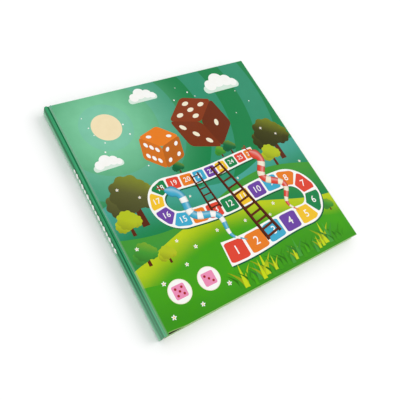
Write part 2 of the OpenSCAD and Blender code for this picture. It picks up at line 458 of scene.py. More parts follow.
@dataclass(frozen=True)
class Snake:
    """A plain banded serpent that waves from a head to a tail.

    Attributes:
        head: Place of the head.
        tail: Place of the tail.
        half_width: Half width of the body.
        swing: Reach of its waves.
        waves: Number of waves.
        ink: Ink of the body.
        band: Ink of the bands.
        layer: First of its layers.
        bands: Number of bands.
        points: Points along the body, across it and along a band.
        crowd: Power that sets the body's points closer towards the head.
        nose: Share of the length that the round nose takes, and its least width squared.
        bulge: Extra width of the head, its place and its spread, as shares.
        taper: Share of the length that thins, its least width as a share, and the power of its curve.
        rim: Level of the rims' tone, and its share.
        glow: Share of white on the light side, its place and its spread.
        fork: Reach of the tongue's fork ahead and aside, and half width of a stroke, in half widths.
        banded: Where the first and the last band start, and the share of the length that all bands cover.
    """

    head: Point
    tail: Point
    half_width: float
    swing: float
    waves: float
    ink: Ink
    band: Ink
    layer: float
    bands: int = 7
    points: tuple[int, int, int] = (72, 7, 6)
    crowd: float = 1.5
    nose: Point = (0.08, 0.01)
    bulge: Triple = (0.4, 0.075, 0.045)
    taper: Triple = (0.55, 0.04, 0.7)
    rim: Point = (0.45, 0.8)
    glow: Triple = (0.3, 0.3, 0.3)
    fork: Triple = (0.8, 0.5, 0.14)
    banded: Triple = (0.2, 0.88, 0.35)

    def middle(self, share: Array) -> Array:
        """Middle line: the straight run plus a sine across it that starts and ends at rest.

        Args:
            share: Places along the body, 0 at the head and 1 at the tail.

        Returns:
            Points, shape (n, 2).
        """
        head, tail = np.array(self.head), np.array(self.tail)
        run = tail - head
        side = np.array([-run[1], run[0]]) / np.linalg.norm(run)
        sway = self.swing * np.sin(2 * math.pi * self.waves * share) * np.sqrt(np.sin(math.pi * share))
        return head + run * share[:, None] + side * sway[:, None]

    def reach(self, share: Array) -> Array:
        """Half width: a round nose, a broad head, a thinner neck and a tail that runs out to a point.

        Args:
            share: Places along the body.

        Returns:
            Half widths, one for each place.
        """
        length, blunt = self.nose
        nose = np.sqrt(np.clip(1 - (1 - np.clip(share / length, 0, 1)) ** 2, blunt, 1))
        extra, place, spread = self.bulge
        head = 1 + extra * np.exp(-(((share - place) / spread) ** 2))
        thin, least, power = self.taper
        return self.half_width * nose * head * np.clip((1 - share) / thin, least, 1) ** power

    def body(self, share: Array, ink: Ink, layer: float) -> Patch:
        """A stretch of the body, shaded round: lighter on one side of the middle and darker at the rims.

        Args:
            share: Places along the body.
            ink: Its ink.
            layer: Place in the stack of layers.

        Returns:
            The stretch.
        """
        across = np.linspace(-1, 1, self.points[1])
        level, strength = self.rim
        tone = mixed(ink.rgb, ink.rgb * level, across**4 * strength)
        white, place, spread = self.glow
        tone = mixed(tone, Ink.WHITE.rgb, np.exp(-(((across - place) / spread) ** 2)) * white)
        return ribbon(self.middle(share), self.reach(share), tone, layer, self.points[1])

    def tongue(self) -> list[Printed]:
        """A thin tongue that runs on from the nose and forks half way.

        Returns:
            Its three strokes.
        """
        nose, neck = self.middle(np.array([0.0, self.nose[0] / 4]))
        ahead = (nose - neck) / np.linalg.norm(nose - neck) * self.half_width
        side = np.array([-ahead[1], ahead[0]])
        split = nose + ahead
        far, wide, thin = self.fork
        tips = [split + far * ahead + hand * wide * side for hand in (1, -1)]
        return [ribbon(np.array(stroke), self.half_width * thin, Ink.CRIMSON.rgb, self.layer - 0.5)
                for stroke in ((nose, split), (split, tips[0]), (split, tips[1]))]

    def patches(self) -> list[Printed]:
        """The tongue, then the body, with bands laid over it at even steps.

        Returns:
            Its shapes.
        """
        parts = self.tongue()
        parts.append(self.body(np.linspace(0, 1, self.points[0]) ** self.crowd, self.ink, self.layer))
        first, last, cover = self.banded
        for start in np.linspace(first, last, self.bands):
            share = np.linspace(start, start + cover / self.bands, self.points[2])
            parts.append(self.body(share, self.band, self.layer + 1))
        return parts


@dataclass(frozen=True)
class Tree:
    """A round tree: a tapered trunk under three clumps of leaves.

    Attributes:
        foot: Foot of the trunk.
        height: Height to the middle of the crown.
        crown: Radius of the crown.
        ink: Ink of the crown.
        layer: First of its layers.
        trunk: Half width of the trunk at its foot and its top, in crown radii.
        clumps: Place and radius of each clump, in crown radii from the crown's middle.
        lobes: Lobes round a clump's rim.
        lobe: Depth of a lobe, as a share of the clump's radius.
        steps: Grid steps across a clump's radius.
        light: Direction that the light comes from.
        gain: Share of sunlit moss at a clump's lightest point and of black at its darkest.
    """

    foot: Point
    height: float
    crown: float
    ink: Ink
    layer: float
    trunk: Point = (0.16, 0.09)
    clumps: tuple[Triple, ...] = ((-0.55, -0.35, 0.62), (0.58, -0.3, 0.58), (0.0, 0.0, 0.85))
    lobes: int = 9
    lobe: float = 0.14
    steps: int = 9
    light: Point = (0.6, 0.8)
    gain: float = 0.35

    def clump(self, centre: Point, radius: float, layer: float) -> Patch:
        """A clump of leaves: a disc whose rim swells in lobes, lighter towards the light.

        A point r radii out moves on by the share lobe * r * r * (abs(sin(lobes * angle / 2)) - 2 / pi).

        Args:
            centre: Its middle.
            radius: Its mean radius.
            layer: Place in the stack of layers.

        Returns:
            The clump.
        """
        grid = rounded((radius, radius), radius, self.steps)
        lit = grid @ np.array(self.light) / radius
        far = (grid**2).sum(-1) / radius**2
        swell = np.abs(np.sin(self.lobes / 2 * np.arctan2(grid[..., 1], grid[..., 0]))) - 2 / math.pi
        grid = grid * (1 + self.lobe * far * swell)[..., None] + np.asarray(centre, float)
        tone = mixed(self.ink.rgb, Ink.MOSS.rgb, np.clip(lit, 0, 1) * self.gain)
        return Patch(grid, tone * (1 - self.gain * np.clip(-lit, 0, 1))[..., None], layer)

    def patches(self) -> list[Printed]:
        """The trunk, two low clumps and the crown's main clump.

        Returns:
            Its shapes.
        """
        x, y = self.foot
        trunk = np.array([(x, y), (x, y + self.height)])
        parts: list[Printed] = [ribbon(trunk, np.array(self.trunk) * self.crown, Ink.BARK.rgb, self.layer)]
        for step, (dx, dy, size) in enumerate(self.clumps, 1):
            centre = (x + dx * self.crown, y + self.height + dy * self.crown)
            parts.append(self.clump(centre, size * self.crown, self.layer + OVERLAP_STEP * step))
        return parts


@dataclass(frozen=True)
class Cloud:
    """A white cloud of four discs on a rounded bar.

    Attributes:
        centre: Middle of its base.
        width: Its width.
        layer: Its layer.
        bar: Half height and corner radius of the bar, in widths.
        puffs: Place and radius of each disc, in widths.
        shade: Share of frost in the bar.
    """

    centre: Point
    width: float
    layer: float
    bar: Point = (0.11, 0.1)
    puffs: tuple[Triple, ...] = ((-0.27, 0.1, 0.15), (-0.04, 0.2, 0.2), (0.2, 0.14, 0.16), (0.36, 0.05, 0.11))
    shade: float = 0.6

    def patches(self) -> list[Printed]:
        """The discs and the bar, a step apart, so that no two tops lie in one plane.

        Returns:
            Its shapes.
        """
        x, y = self.centre
        half, corner = (share * self.width for share in self.bar)
        bar = rounded((self.width / 2, half), corner) + np.array(self.centre)
        parts: list[Printed] = [Patch(bar, mixed(Ink.WHITE.rgb, Ink.FROST.rgb, self.shade), self.layer)]
        for step, (dx, dy, size) in enumerate(self.puffs, 1):
            centre = (x + dx * self.width, y + dy * self.width)
            parts.append(disc(centre, size * self.width, Ink.WHITE.rgb, self.layer + OVERLAP_STEP * step))
        return parts


PIPS: dict[int, tuple[Point, ...]] = {
    1: ((0, 0),),
    2: ((-1, 1), (1, -1)),
    3: ((-1, 1), (0, 0), (1, -1)),
    4: ((-1, -1), (-1, 1), (1, -1), (1, 1)),
    5: ((-1, -1), (-1, 1), (0, 0), (1, -1), (1, 1)),
    6: ((-1, -1), (-1, 0), (-1, 1), (1, -1), (1, 0), (1, 1)),
}


@dataclass(frozen=True)
class DieFace:
    """One face of a die, flat or seen at a slant.

    Attributes:
        centre: Middle of the face.
        edges: Two half edges of the face, as vectors on the sheet.
        count: Number of pips.
        ink: Ink of the face.
        pip: Ink of the pips.
        layer: Its first layer.
        corner: Radius of its corners, in half edges.
        spot: Radius of a pip and its distance from the middle, in half edges.
    """

    centre: Point
    edges: tuple[Point, Point]
    count: int
    ink: Array
    pip: Ink
    layer: float
    corner: float = 0.26
    spot: Point = (0.19, 0.5)

    def patches(self) -> list[Printed]:
        """The face with round corners, and its pips, carried by the two half edges.

        Returns:
            Its shapes.
        """
        edges, centre = np.array(self.edges), np.array(self.centre)
        parts: list[Printed] = [Patch(rounded((1, 1), self.corner) @ edges + centre, self.ink, self.layer)]
        radius, spread = self.spot
        for place in PIPS[self.count]:
            pip = (rounded((radius, radius), radius) + np.array(place) * spread) @ edges + centre
            parts.append(Patch(pip, self.pip.rgb, self.layer + 1))
        return parts


@dataclass(frozen=True)
class Die:
    """A die seen from a corner: three slanted faces, in light, half light and shade.

    Attributes:
        centre: Middle of the die.
        size: Half edge of the die.
        turn: Turn in degrees.
        ink: Ink of the die.
        pip: Ink of the pips.
        counts: Pips on the upper, left and right faces.
        layer: Its first layer.
        lights: Level of light on the three faces.
    """

    centre: Point
    size: float
    turn: float
    ink: Ink
    pip: Ink
    counts: tuple[int, int, int]
    layer: float
    lights: Triple = (1.0, 0.8, 0.62)

    def patches(self) -> list[Printed]:
        """Faces on the three pairs of half edges of a cube seen along its diagonal.

        Returns:
            Its shapes.
        """
        down, right, left = (turned(np.array((0.0, -self.size)), self.turn + step) for step in (0, 120, 240))
        pairs = ((left, right), (down, left), (down, right))
        parts: list[Printed] = []
        for (a, b), light, count in zip(pairs, self.lights, self.counts):
            centre, edges = np.array(self.centre) + a + b, (tuple(a), tuple(b))
            face = DieFace(tuple(centre), edges, count, self.ink.rgb * light, self.pip, self.layer)
            parts += face.patches()
        return parts


@dataclass(frozen=True)
class Badge:
    """A round badge with a cream rim that holds one flat die face.

    Attributes:
        centre: Its middle.
        count: Pips on the die face.
        layer: Its first layer.
        radii: Radius of the rim and of the white ground.
        face: Half edge of the die face.
    """

    centre: Point
    count: int
    layer: float
    radii: Point = (9.6, 9.0)
    face: float = 5.4

    def patches(self) -> list[Printed]:
        """Rim, ground and die face, each a layer above the one before.

        Returns:
            Its shapes.
        """
        rings = [disc(self.centre, radius, ink.rgb, self.layer + step)
                 for step, (radius, ink) in enumerate(zip(self.radii, (Ink.CREAM, Ink.WHITE)))]
        edges = ((self.face, 0), (0, self.face))
        face = DieFace(self.centre, edges, self.count, Ink.ROSE.rgb, Ink.CRIMSON, self.layer + 2)
        return [*rings, *face.patches()]


@dataclass(frozen=True)
class TilePath:
    """A winding path of numbered tiles that grow smaller as it climbs.

    Attributes:
        rows: Heights of its three rows.
        ends: Where it starts, its right and left bends, and where it stops.
        widths: Half width at the start and at the end.
        tiles: Number of tiles.
        inks: Inks of the tiles, used in turn.
        layer: First of its layers.
        shadow: Shift of its shadow.
        swell: Reach and length of the swell of the ground that it runs over.
        margin: Width of the white ground beside the tiles.
        tile: Half length of a tile, as a share of its step, and half width, as a share of the path's.
        corner: Radius of a tile's corners.
        digits: Height of the numbers, in half widths.
        points: Points along each stretch.
    """

    rows: Triple
    ends: tuple[float, float, float, float]
    widths: Point
    tiles: int
    inks: tuple[Ink, ...]
    layer: float
    shadow: Point = (0.7, -1.3)
    swell: Point = (1.8, 120.0)
    margin: float = 1.1
    tile: Point = (0.44, 0.93)
    corner: float = 0.2
    digits: float = 1.15
    points: int = 80

    def middle(self) -> Array:
        """Middle line: straight rows joined by half rounds, raised by a swell.

        The swell is reach * sin(turns along a row).

        Returns:
            Points, shape (n, 2).
        """
        low, mid, high = self.rows
        start, right, left, stop = self.ends
        share = np.linspace(0, 1, self.points, endpoint=False)
        sweep = math.pi * (share - 0.5)
        pieces = [np.stack([a + (b - a) * share, np.full(self.points, v)], -1)
                  for a, b, v in ((start, right, low), (right, left, mid), (left, stop, high))]
        for place, hand, u, v, top in ((1, 1, right, low, mid), (3, -1, left, mid, high)):
            radius = (top - v) / 2
            bend = np.stack([u + hand * radius * np.cos(sweep), v + radius * (1 + np.sin(sweep))], -1)
            pieces.insert(place, bend)
        line = np.vstack([*pieces, [(stop, high)]])
        reach, length = self.swell
        line[:, 1] += reach * np.sin(2 * math.pi * line[:, 0] / length)
        return line

    def patches(self) -> list[Printed]:
        """A shadow, white ground and tiles, each a rounded square as long as the path is wide, bent along it.

        Returns:
            Its shapes.
        """
        path = self.middle()
        step = np.linalg.norm(np.diff(path, axis=0), axis=1)
        length = np.concatenate([[0], np.cumsum(step)])
        width = self.widths[0] + (self.widths[1] - self.widths[0]) * length / length[-1]
        count = np.concatenate([[0], np.cumsum(step / width[1:])])
        count *= self.tiles / count[-1]
        side = normals(path)
        wide = width + self.margin
        shadow = ribbon(path + np.array(self.shadow), wide, Ink.SPRUCE.rgb, self.layer - 1)
        parts: list[Printed] = [shadow, ribbon(path, wide, Ink.WHITE.rgb, self.layer)]
        plan = rounded(self.tile, self.corner)
        for number in range(self.tiles):
            place = number + 0.5 + plan[..., 0]
            line = np.stack([np.interp(place, count, path[:, axis]) for axis in (0, 1)], -1)
            across = np.stack([np.interp(place, count, side[:, axis]) for axis in (0, 1)], -1)
            reach = np.interp(place, count, width)[..., None] * plan[..., 1:]
            ink = self.inks[number % len(self.inks)]
            parts.append(Patch(line + across * reach, ink.rgb, self.layer + 1))
            middle = [np.interp(number + 0.5, count, path[:, axis]) for axis in (0, 1)]
            size = self.digits * float(np.interp(number + 0.5, count, width))
            parts.append(Numeral(str(number + 1), tuple(middle), size, Ink.WHITE, self.layer + 2))
        return parts


@dataclass(frozen=True)
class Tuft:
    """A tuft of three grass blades.

    Attributes:
        foot: Its foot.
        height: Height of the middle blade.
        ink: Its ink.
        layer: Its layer.
        leans: Lean of each blade's tip, as a share of its rise.
        droop: Share of the height that a blade loses by its lean.
        bend: Power of a blade's bent line.
        blade: Half width of a blade at its foot, as a share of the height.
        tip: Half width of a blade at its tip, as a share of that at its foot.
        tones: Level of the first blade, and the gain from blade to blade.
        points: Points along a blade.
    """

    foot: Point
    height: float
    ink: Ink
    layer: float
    leans: Triple = (-0.6, 0.7, 0.08)
    droop: float = 0.3
    bend: float = 1.7
    blade: float = 0.11
    tip: float = 0.02
    tones: Point = (0.6, 0.25)
    points: int = 9

    def patches(self) -> list[Printed]:
        """Blades that lean out, each a ribbon that tapers to a point along a bent line.

        Returns:
            Its shapes.
        """
        share = np.linspace(0, 1, self.points)
        width = self.height * self.blade * (1 + self.tip - share)
        parts: list[Printed] = []
        for step, lean in enumerate(self.leans):
            rise = self.height * (1 - self.droop * abs(lean))
            line = np.stack([lean * rise * share**self.bend, rise * share], -1) + np.array(self.foot)
            tone = self.ink.rgb * (self.tones[0] + self.tones[1] * step)
            parts.append(ribbon(line, width, tone, self.layer + OVERLAP_STEP * step))
        return parts


@dataclass(frozen=True)
class Blossom:
    """A flower of five petals.

    Attributes:
        centre: Its middle.
        size: Its reach.
        layer: Its layer.
        petals: Number of petals.
        edge: Mean reach of the petals' edge and its swing, in sizes.
        hollow: Radius of the hole under the eye, in sizes.
        eye: Radius of the eye, in sizes.
        points: Points round it.
    """

    centre: Point
    size: float
    layer: float
    petals: int = 5
    edge: Point = (0.72, 0.28)
    hollow: float = 0.1
    eye: float = 0.28
    points: int = 40

    def patches(self) -> list[Printed]:
        """A ring whose outer edge lies at size * (mean + swing * cos(petals * angle)), and its yellow eye.

        Returns:
            Its shapes.
        """
        angle = np.linspace(0, 2 * math.pi, self.points, endpoint=False)
        outer = self.edge[0] + self.edge[1] * np.cos(self.petals * angle)
        reach = self.size * np.stack([np.full(self.points, self.hollow), outer], -1)
        ring = polar(angle[:, None], reach) + np.array(self.centre)
        return [Patch(ring, Ink.WHITE.rgb, self.layer, closed=True),
                disc(self.centre, self.size * self.eye, Ink.YELLOW.rgb, self.layer + 1)]


@dataclass(frozen=True)
class Sheet:
    """A flat face that carries print.

    Attributes:
        body: Body that moves it.
        slot: Material slot of the print; not used.
        origin: Place of the layout's origin, in metres.
        u: Direction of the layout's first axis.
        v: Direction of the layout's second axis.
    """

    body: str
    slot: str
    origin: Vector
    u: Vector
    v: Vector

    def build(self, name: str, items: Sequence[Printed], finish: "Finish") -> bpy.types.Object:
        """Prints items as one piece: slabs whose tops lie a layer's height above the sheet.

        Args:
            name: Name of the piece.
            items: Shapes and numbers.
            finish: Finish that shows their inks.

        Returns:
            The piece.
        """
        slabs = [item.slab() for item in items]
        starts = np.cumsum([0] + [len(slab[0]) for slab in slabs])
        plan = np.vstack([slab[0] for slab in slabs]) * MM
        height = np.concatenate([slab[1] for slab in slabs]) * MM
        axes = np.array([self.u, self.v, self.u.cross(self.v)])
        points = np.array(self.origin) + np.column_stack([plan, height]) @ axes
        faces = [[corner + start for corner in face]
                 for start, slab in zip(starts, slabs) for face in slab[2]]
        inks = np.column_stack([np.vstack([slab[3] for slab in slabs]), np.ones(len(points))])
        piece = make_piece(name, points, faces, self.body, finish)
        layer = piece.data.color_attributes.new("ink", "FLOAT_COLOR", "POINT")
        layer.data.foreach_set("color", inks.astype(np.float32).ravel())
        return piece

    def build_motifs(self, prefix: str, finish: "Finish", **groups: Sequence[Motif]) -> None:
        """Prints each group of motifs as one piece, named by the prefix and the group.

        Args:
            prefix: First word of the pieces' names.
            finish: Finish that shows their inks.
            groups: Motifs of each piece.
        """
        for name, motifs in groups.items():
            self.build(f"{prefix}_{name}", [patch for motif in motifs for patch in motif.patches()], finish)


def make_piece(name: str, points: Array, faces: list[list[int]], body: str | None,
               finish: "Finish", smooth: bool = False) -> bpy.types.Object:
    """Makes a mesh piece in the frame.

    Args:
        name: Name of the piece.
        points: Points in metres.
        faces: Faces as lists of point numbers.
        body: Body that it rides on, or None.
        finish: Its finish.
        smooth: Whether gentle edges are shaded round.

    Returns:
        The piece.
    """
    mesh = bpy.data.meshes.new(name)
    mesh.from_pydata(points.tolist(), [], faces)
    mesh.materials.append(finish.material())
    if smooth:
        mesh.polygons.foreach_set("use_smooth", np.ones(len(mesh.polygons), bool))
        mesh.set_sharp_from_angle(angle=SMOOTH_ANGLE)
    piece = bpy.data.objects.new(name, mesh)
    bpy.context.scene.collection.objects.link(piece)
    if body:
        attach(piece, body)
    LOG.info("piece %s: %d faces", name, len(faces))
    return piece


class Ease(NamedTuple):
    """A smooth step from one value to another.

    Attributes:
        low: Input at which it starts.
        high: Input at which it ends.
        first: Value up to the start.
        last: Value from the end on.
    """

    low: float
    high: float
    first: float = 0.0
    last: float = 1.0

    def along(self, length: float) -> "Ease":
        """The step whose inputs are these shares of a length."""
        return self._replace(low=self.low * length, high=self.high * length)


class Blots(NamedTuple):
    """Soft noise, with values round a half, and the shares made from it.

    Attributes:
        size: Width of a blot, in millimetres.
        detail: Octaves.
        ease: Step from the noise to shares.
        stretch: Length of a blot along each axis, in widths.
    """

    size: float
    detail: float
    ease: Ease = Ease(0.0, 1.0)
    stretch: Triple = (1, 1, 1)


class Graph:
    """A node tree, built by short calls that return output sockets."""

    def __init__(self, tree: bpy.types.NodeTree) -> None:
        """Takes the tree to add nodes to."""
        self.tree = tree

    def add(self, kind: str, inputs: dict[Any, Any] | None = None, **settings: Any) -> bpy.types.Node:
        """Adds a node.

        Args:
            kind: Node type.
            inputs: Values or sockets for its inputs.
            settings: Values for its properties.

        Returns:
            The node.
        """
        node = self.tree.nodes.new(kind)
        for key, value in settings.items():
            setattr(node, key, value)
        for key, value in (inputs or {}).items():
            self.put(node.inputs[key], value)
        return node

    def put(self, target: Socket, value: Any) -> None:
        """Links a socket to an input, or sets the input's own value.

        Args:
            target: The input.
            value: A socket, a linear colour or a plain value.
        """
        if isinstance(value, bpy.types.NodeSocket):
            self.tree.links.new(value, target)
        elif isinstance(value, np.ndarray):
            target.default_value = (*value, 1.0)
        else:
            target.default_value = value

    def math(self, operation: str, a: Any, b: Any = 0.0) -> Socket:
        """Works out one sum."""
        return self.add("ShaderNodeMath", {0: a, 1: b}, operation=operation).outputs[0]

    def fade(self, value: Any, ease: Ease, shape: str = "SMOOTHSTEP") -> Socket:
        """Takes an input through a step, smooth or LINEAR."""
        ends = dict(zip(("From Min", "From Max", "To Min", "To Max"), ease), Value=value)
        return self.add("ShaderNodeMapRange", ends, interpolation_type=shape).outputs[0]

    def mix(self, share: Any, low: Any, high: Any, blend: str = "MIX") -> Socket:
        """Mixes two colours."""
        sides = {0: share, 6: low, 7: high}
        return self.add("ShaderNodeMix", sides, data_type="RGBA", blend_type=blend).outputs[2]


class MaterialGraph(Graph):
    """A material's node tree, with its plain shader."""

    def __init__(self, name: str, place: str = "") -> None:
        """Starts a material.

        Args:
            name: Name of the material.
            place: Attribute with each point's place at rest, or nothing to read Object coordinates.
        """
        self.material = bpy.data.materials.new(name)
        self.material.use_nodes = True
        super().__init__(self.material.node_tree)
        self.shader = self.tree.nodes["Principled BSDF"]
        self.point: Socket = self.add("ShaderNodeTexCoord").outputs["Object"]
        if place:
            self.point = self.attribute(place, "Vector")

    def attribute(self, name: str, kind: str) -> Socket:
        """Reads an attribute of the mesh, as Vector, Color or Fac."""
        return self.add("ShaderNodeAttribute", attribute_name=name).outputs[kind]

    def set(self, **inputs: Any) -> None:
        """Sets inputs of the shader, with _ for each blank in their names."""
        for name, value in inputs.items():
            self.put(self.shader.inputs[name.replace("_", " ")], value)

    def noise(self, kind: Blots) -> Socket:
        """Noise whose blots have a size in millimetres.

        Args:
            kind: Its blots.

        Returns:
            Values round a half.
        """
        scale = tuple(1 / (share * kind.size * MM) for share in kind.stretch)
        place = self.add("ShaderNodeVectorMath", {0: self.point, 1: scale}, operation="MULTIPLY").outputs[0]
        ends = {"Vector": place, "Scale": 1.0, "Detail": kind.detail}
        return self.add("ShaderNodeTexNoise", ends).outputs[0]

    def blots(self, kind: Blots, level: float = 1.0) -> Socket:
        """Shares made from noise, times a level."""
        low, high, first, last = kind.ease
        return self.fade(self.noise(kind), Ease(low, high, first * level, last * level))

    def axis(self, index: int, origin: float) -> Socket:
        """One coordinate, in millimetres from a place in metres."""
        part = self.add("ShaderNodeSeparateXYZ", {0: self.point}).outputs[index]
        return self.math("DIVIDE", self.math("SUBTRACT", part, origin), MM)

    def layout(self, sheet: Sheet) -> list[Socket]:
        """The two layout coordinates of a sheet, in millimetres.

        Args:
            sheet: The sheet.

        Returns:
            The coordinates along its u and its v.
        """
        ends = {0: self.point, 1: tuple(sheet.origin)}
        place = self.add("ShaderNodeVectorMath", ends, operation="SUBTRACT").outputs[0]
        return [self.add("ShaderNodeVectorMath", {0: place, 1: tuple(axis / MM)},
                         operation="DOT_PRODUCT").outputs["Value"] for axis in (sheet.u, sheet.v)]

    def relief(self, height: Socket, depth: float) -> None:
        """Bumps the surface by a height map, depth in millimetres."""
        bump = self.add("ShaderNodeBump", {"Height": height, "Distance": depth * MM, "Strength": 1.0})
        self.set(Normal=bump.outputs[0])


class Gloss(Enum):
    """Mean roughness of the finishes."""

    FILM = 0.2
    COUNTER = 0.26
    ARROW = 0.28
    POST = 0.3
    FOLD = 0.38
    PAPER = 0.42
    FERRITE = 0.5
    DIAL = 0.6
    RUBBER = 0.7
    LINING = 0.75
    TRAY = 0.85
    MATT = 0.9


@dataclass(frozen=True)
class Finish:
    """A surface finish.

    Attributes:
        name: Name of its material.
        gloss: Its mean roughness.
        place: Attribute with each point's place at rest, read in place of Object coordinates.
        wear: Blots that change the roughness, as shares of its mean.
        film: Share of a clear film.
        film_roughness: Roughness of the film.
        skin: Noise of the surface's relief.
        depth: Depth of the relief, in millimetres.
    """

    MADE: ClassVar[dict[str, bpy.types.Material]] = {}

    name: str
    gloss: Gloss
    place: str = ""
    wear: Blots = Blots(3, 3, Ease(0.3, 0.7, 0.9, 1.0))
    film: float = 0.0
    film_roughness: float = 0.12
    skin: Blots = Blots(0.35, 4)
    depth: float = 0.02

    def paint(self, graph: MaterialGraph) -> Socket:
        """Returns the colour."""
        raise NotImplementedError

    def seal(self, graph: MaterialGraph) -> None:
        """Sets roughness, film and relief.

        Args:
            graph: The material's tree.
        """
        graph.set(Roughness=graph.blots(self.wear, self.gloss.value))
        graph.set(Coat_Weight=self.film, Coat_Roughness=self.film_roughness)
        graph.relief(graph.noise(self.skin), self.depth)

    def material(self) -> bpy.types.Material:
        """The finish's material, made on first use.

        Returns:
            The material.
        """
        if self.name not in self.MADE:
            graph = MaterialGraph(self.name, self.place)
            graph.set(Base_Color=self.paint(graph))
            self.seal(graph)
            self.MADE[self.name] = graph.material
        return self.MADE[self.name]

    def dress(self, *nodes: str) -> None:
        """Gives nodes of the frame this finish.

        Args:
            nodes: Their names.
        """
        for name in nodes:
            mesh = bpy.data.objects[name].data
            mesh.materials.clear()
            mesh.materials.append(self.material())
            LOG.info("node %s: %s", name, self.name)


@dataclass(frozen=True)
class Laminate(Finish):
    """Print under a gloss film: a fine ripple, and smears that change the gloss a little."""

    wear: Blots = Blots(26, 4, Ease(0.3, 0.75, 0.85, 1.3), (1, 3, 1))
    film: float = 0.35
    skin: Blots = Blots(1.6, 2)
    depth: float = 0.004


@dataclass(frozen=True)
class Hill:
    """A printed hill below a wavy line: base + swing * sin(turns along the sheet + phase).

    Attributes:
        base: Mean height.
        swing: Reach of the wave.
        length: Length of the wave.
        phase: Its phase in degrees.
        crest: Ink at its crest.
        foot: Ink at its foot.
        depth: Depth over which crest turns to foot.
    """

    base: float
    swing: float
    length: float
    phase: float
    crest: Ink
    foot: Ink
    depth: float


@dataclass(frozen=True)
class CoverPicture(Laminate):
    """Rings of green light round a point, over which hills are laid.

    Attributes:
        node: Node that carries the picture.
        sheet: Sheet that gives the layout.
        centre: Middle of the rings.
        ring: Width of a pair of rings.
        hills: Hills, from back to front.
        slit: Width of the slit at the tail, where the fold stands open, whose darkness is painted shade, by
            the distance from the hinge.
        dusk: Distance from the rings' middle over which they darken.
        band: Share of the brighter inks in a ring, by the rings' wave.
        crest: Soft edge of a hill, by the depth below its line.
        mottle: Faint mottle of the whole picture.
        rim: Share of the pale rim, white wear and a painted highlight of the rounded edge, by the distance
            from an edge.
        frosted: Shares of the length over which the rim turns from sprout to frost.
        outside: Share of the slit's painted shade, by the height over the face.
        gape: Share of the slit's painted shade, by the distance inside the edge.
        dark: Level of the slit's painted shade.
    """

    node: str = "front_wrap"
    sheet: Sheet | None = None
    centre: Point = (34.0, 172.0)
    ring: float = 46.0
    hills: tuple[Hill, ...] = ()
    slit: Ease | None = None
    dusk: Ease = Ease(0, 92)
    band: Ease = Ease(-0.04, 0.04, 0.0, 0.4)
    crest: Ease = Ease(-0.08, 0.08)
    mottle: Blots = Blots(9, 5, Ease(0.25, 0.75, 0.0, 0.08))
    rim: Ease = Ease(0.15, 0.75, 0.8, 0.0)
    frosted: Ease = Ease(0.6, 0.95)
    outside: Ease = Ease(-0.4, -0.2)
    gape: Ease = Ease(-0.2, 0.0, 0.96, 0.0)
    dark: float = 0.3

    def scenery(self, graph: MaterialGraph) -> Socket:
        """Rings that fade from mint to forest green, then each hill with a crest lighter than its foot.

        Args:
            graph: The material's tree.

        Returns:
            The colour.
        """
        u, v = graph.layout(self.sheet)
        squares = []
        for place, middle in zip((u, v), self.centre):
            away = graph.math("SUBTRACT", place, middle)
            squares.append(graph.math("MULTIPLY", away, away))
        far = graph.math("SQRT", graph.math("ADD", *squares))
        wave = graph.math("SINE", graph.math("MULTIPLY", far, 2 * math.pi / self.ring))
        dusk = graph.fade(far, self.dusk)
        ground = graph.mix(dusk, Ink.MINT.rgb, Ink.FOREST.rgb)
        bright = graph.mix(dusk, Ink.MIST.rgb, Ink.TEAL.rgb)
        colour = graph.mix(graph.fade(wave, self.band), ground, bright)
        for hill in self.hills:
            run = graph.math("MULTIPLY", u, 2 * math.pi / hill.length)
            rise = graph.math("SINE", graph.math("ADD", run, math.radians(hill.phase)))
            top = graph.math("ADD", graph.math("MULTIPLY", rise, hill.swing), hill.base)
            below = graph.math("SUBTRACT", top, v)
            tone = graph.mix(graph.fade(below, Ease(0, hill.depth)), hill.crest.rgb, hill.foot.rgb)
            colour = graph.mix(graph.fade(below, self.crest), colour, tone)
        return graph.mix(graph.blots(self.mottle), colour, Ink.PINE.rgb)

    def paint(self, graph: MaterialGraph) -> Socket:
        """The scenery, a pale rim of wear and painted highlight on three edges of its node, tinted as the
        print beside it, and the slit's painted shade.

        Args:
            graph: The material's tree.

        Returns:
            The colour.
        """
        low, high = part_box(self.node)
        width, length = (high.x - low.x) / MM, (high.y - low.y) / MM
        across, along = graph.axis(0, low.x), graph.axis(1, low.y)
        inside = along
        if self.slit:
            inside = graph.math("SUBTRACT", along, graph.fade(across, self.slit))
        ends = graph.math("MINIMUM", inside, graph.math("SUBTRACT", length, along))
        edge = graph.math("MINIMUM", graph.math("SUBTRACT", width, across), ends)
        # Pale rim: white wear and a painted highlight of the rounded edge.
        pale = graph.mix(graph.fade(along, self.frosted.along(length)), Ink.SPROUT.rgb, Ink.FROST.rgb)
        colour = graph.mix(graph.fade(edge, self.rim), self.scenery(graph), pale)
        if not self.slit:
            return colour
        # Painted shade of the slit at the tail beside the hinge.
        outside = graph.fade(graph.axis(2, high.z), self.outside)
        gape = graph.math("MULTIPLY", graph.fade(inside, self.gape), outside)
        return graph.mix(gape, colour, Ink.COCOA.rgb * self.dark)


@dataclass(frozen=True)
class InkPrint(Laminate):
    """Print whose colours each shape carries itself.

    Attributes:
        mottle: Share of cream in the mottle.
        dull: Level of that cream.
    """

    mottle: Blots = Blots(5, 4, Ease(0.3, 0.75, 0.0, 0.12))
    dull: float = 0.9

    def paint(self, graph: MaterialGraph) -> Socket:
        """The shape's ink, broken by a faint mottle."""
        tone = graph.mix(graph.blots(self.mottle), np.ones(3), Ink.CREAM.rgb * self.dull)
        return graph.mix(1.0, graph.attribute("ink", "Color"), tone, "MULTIPLY")


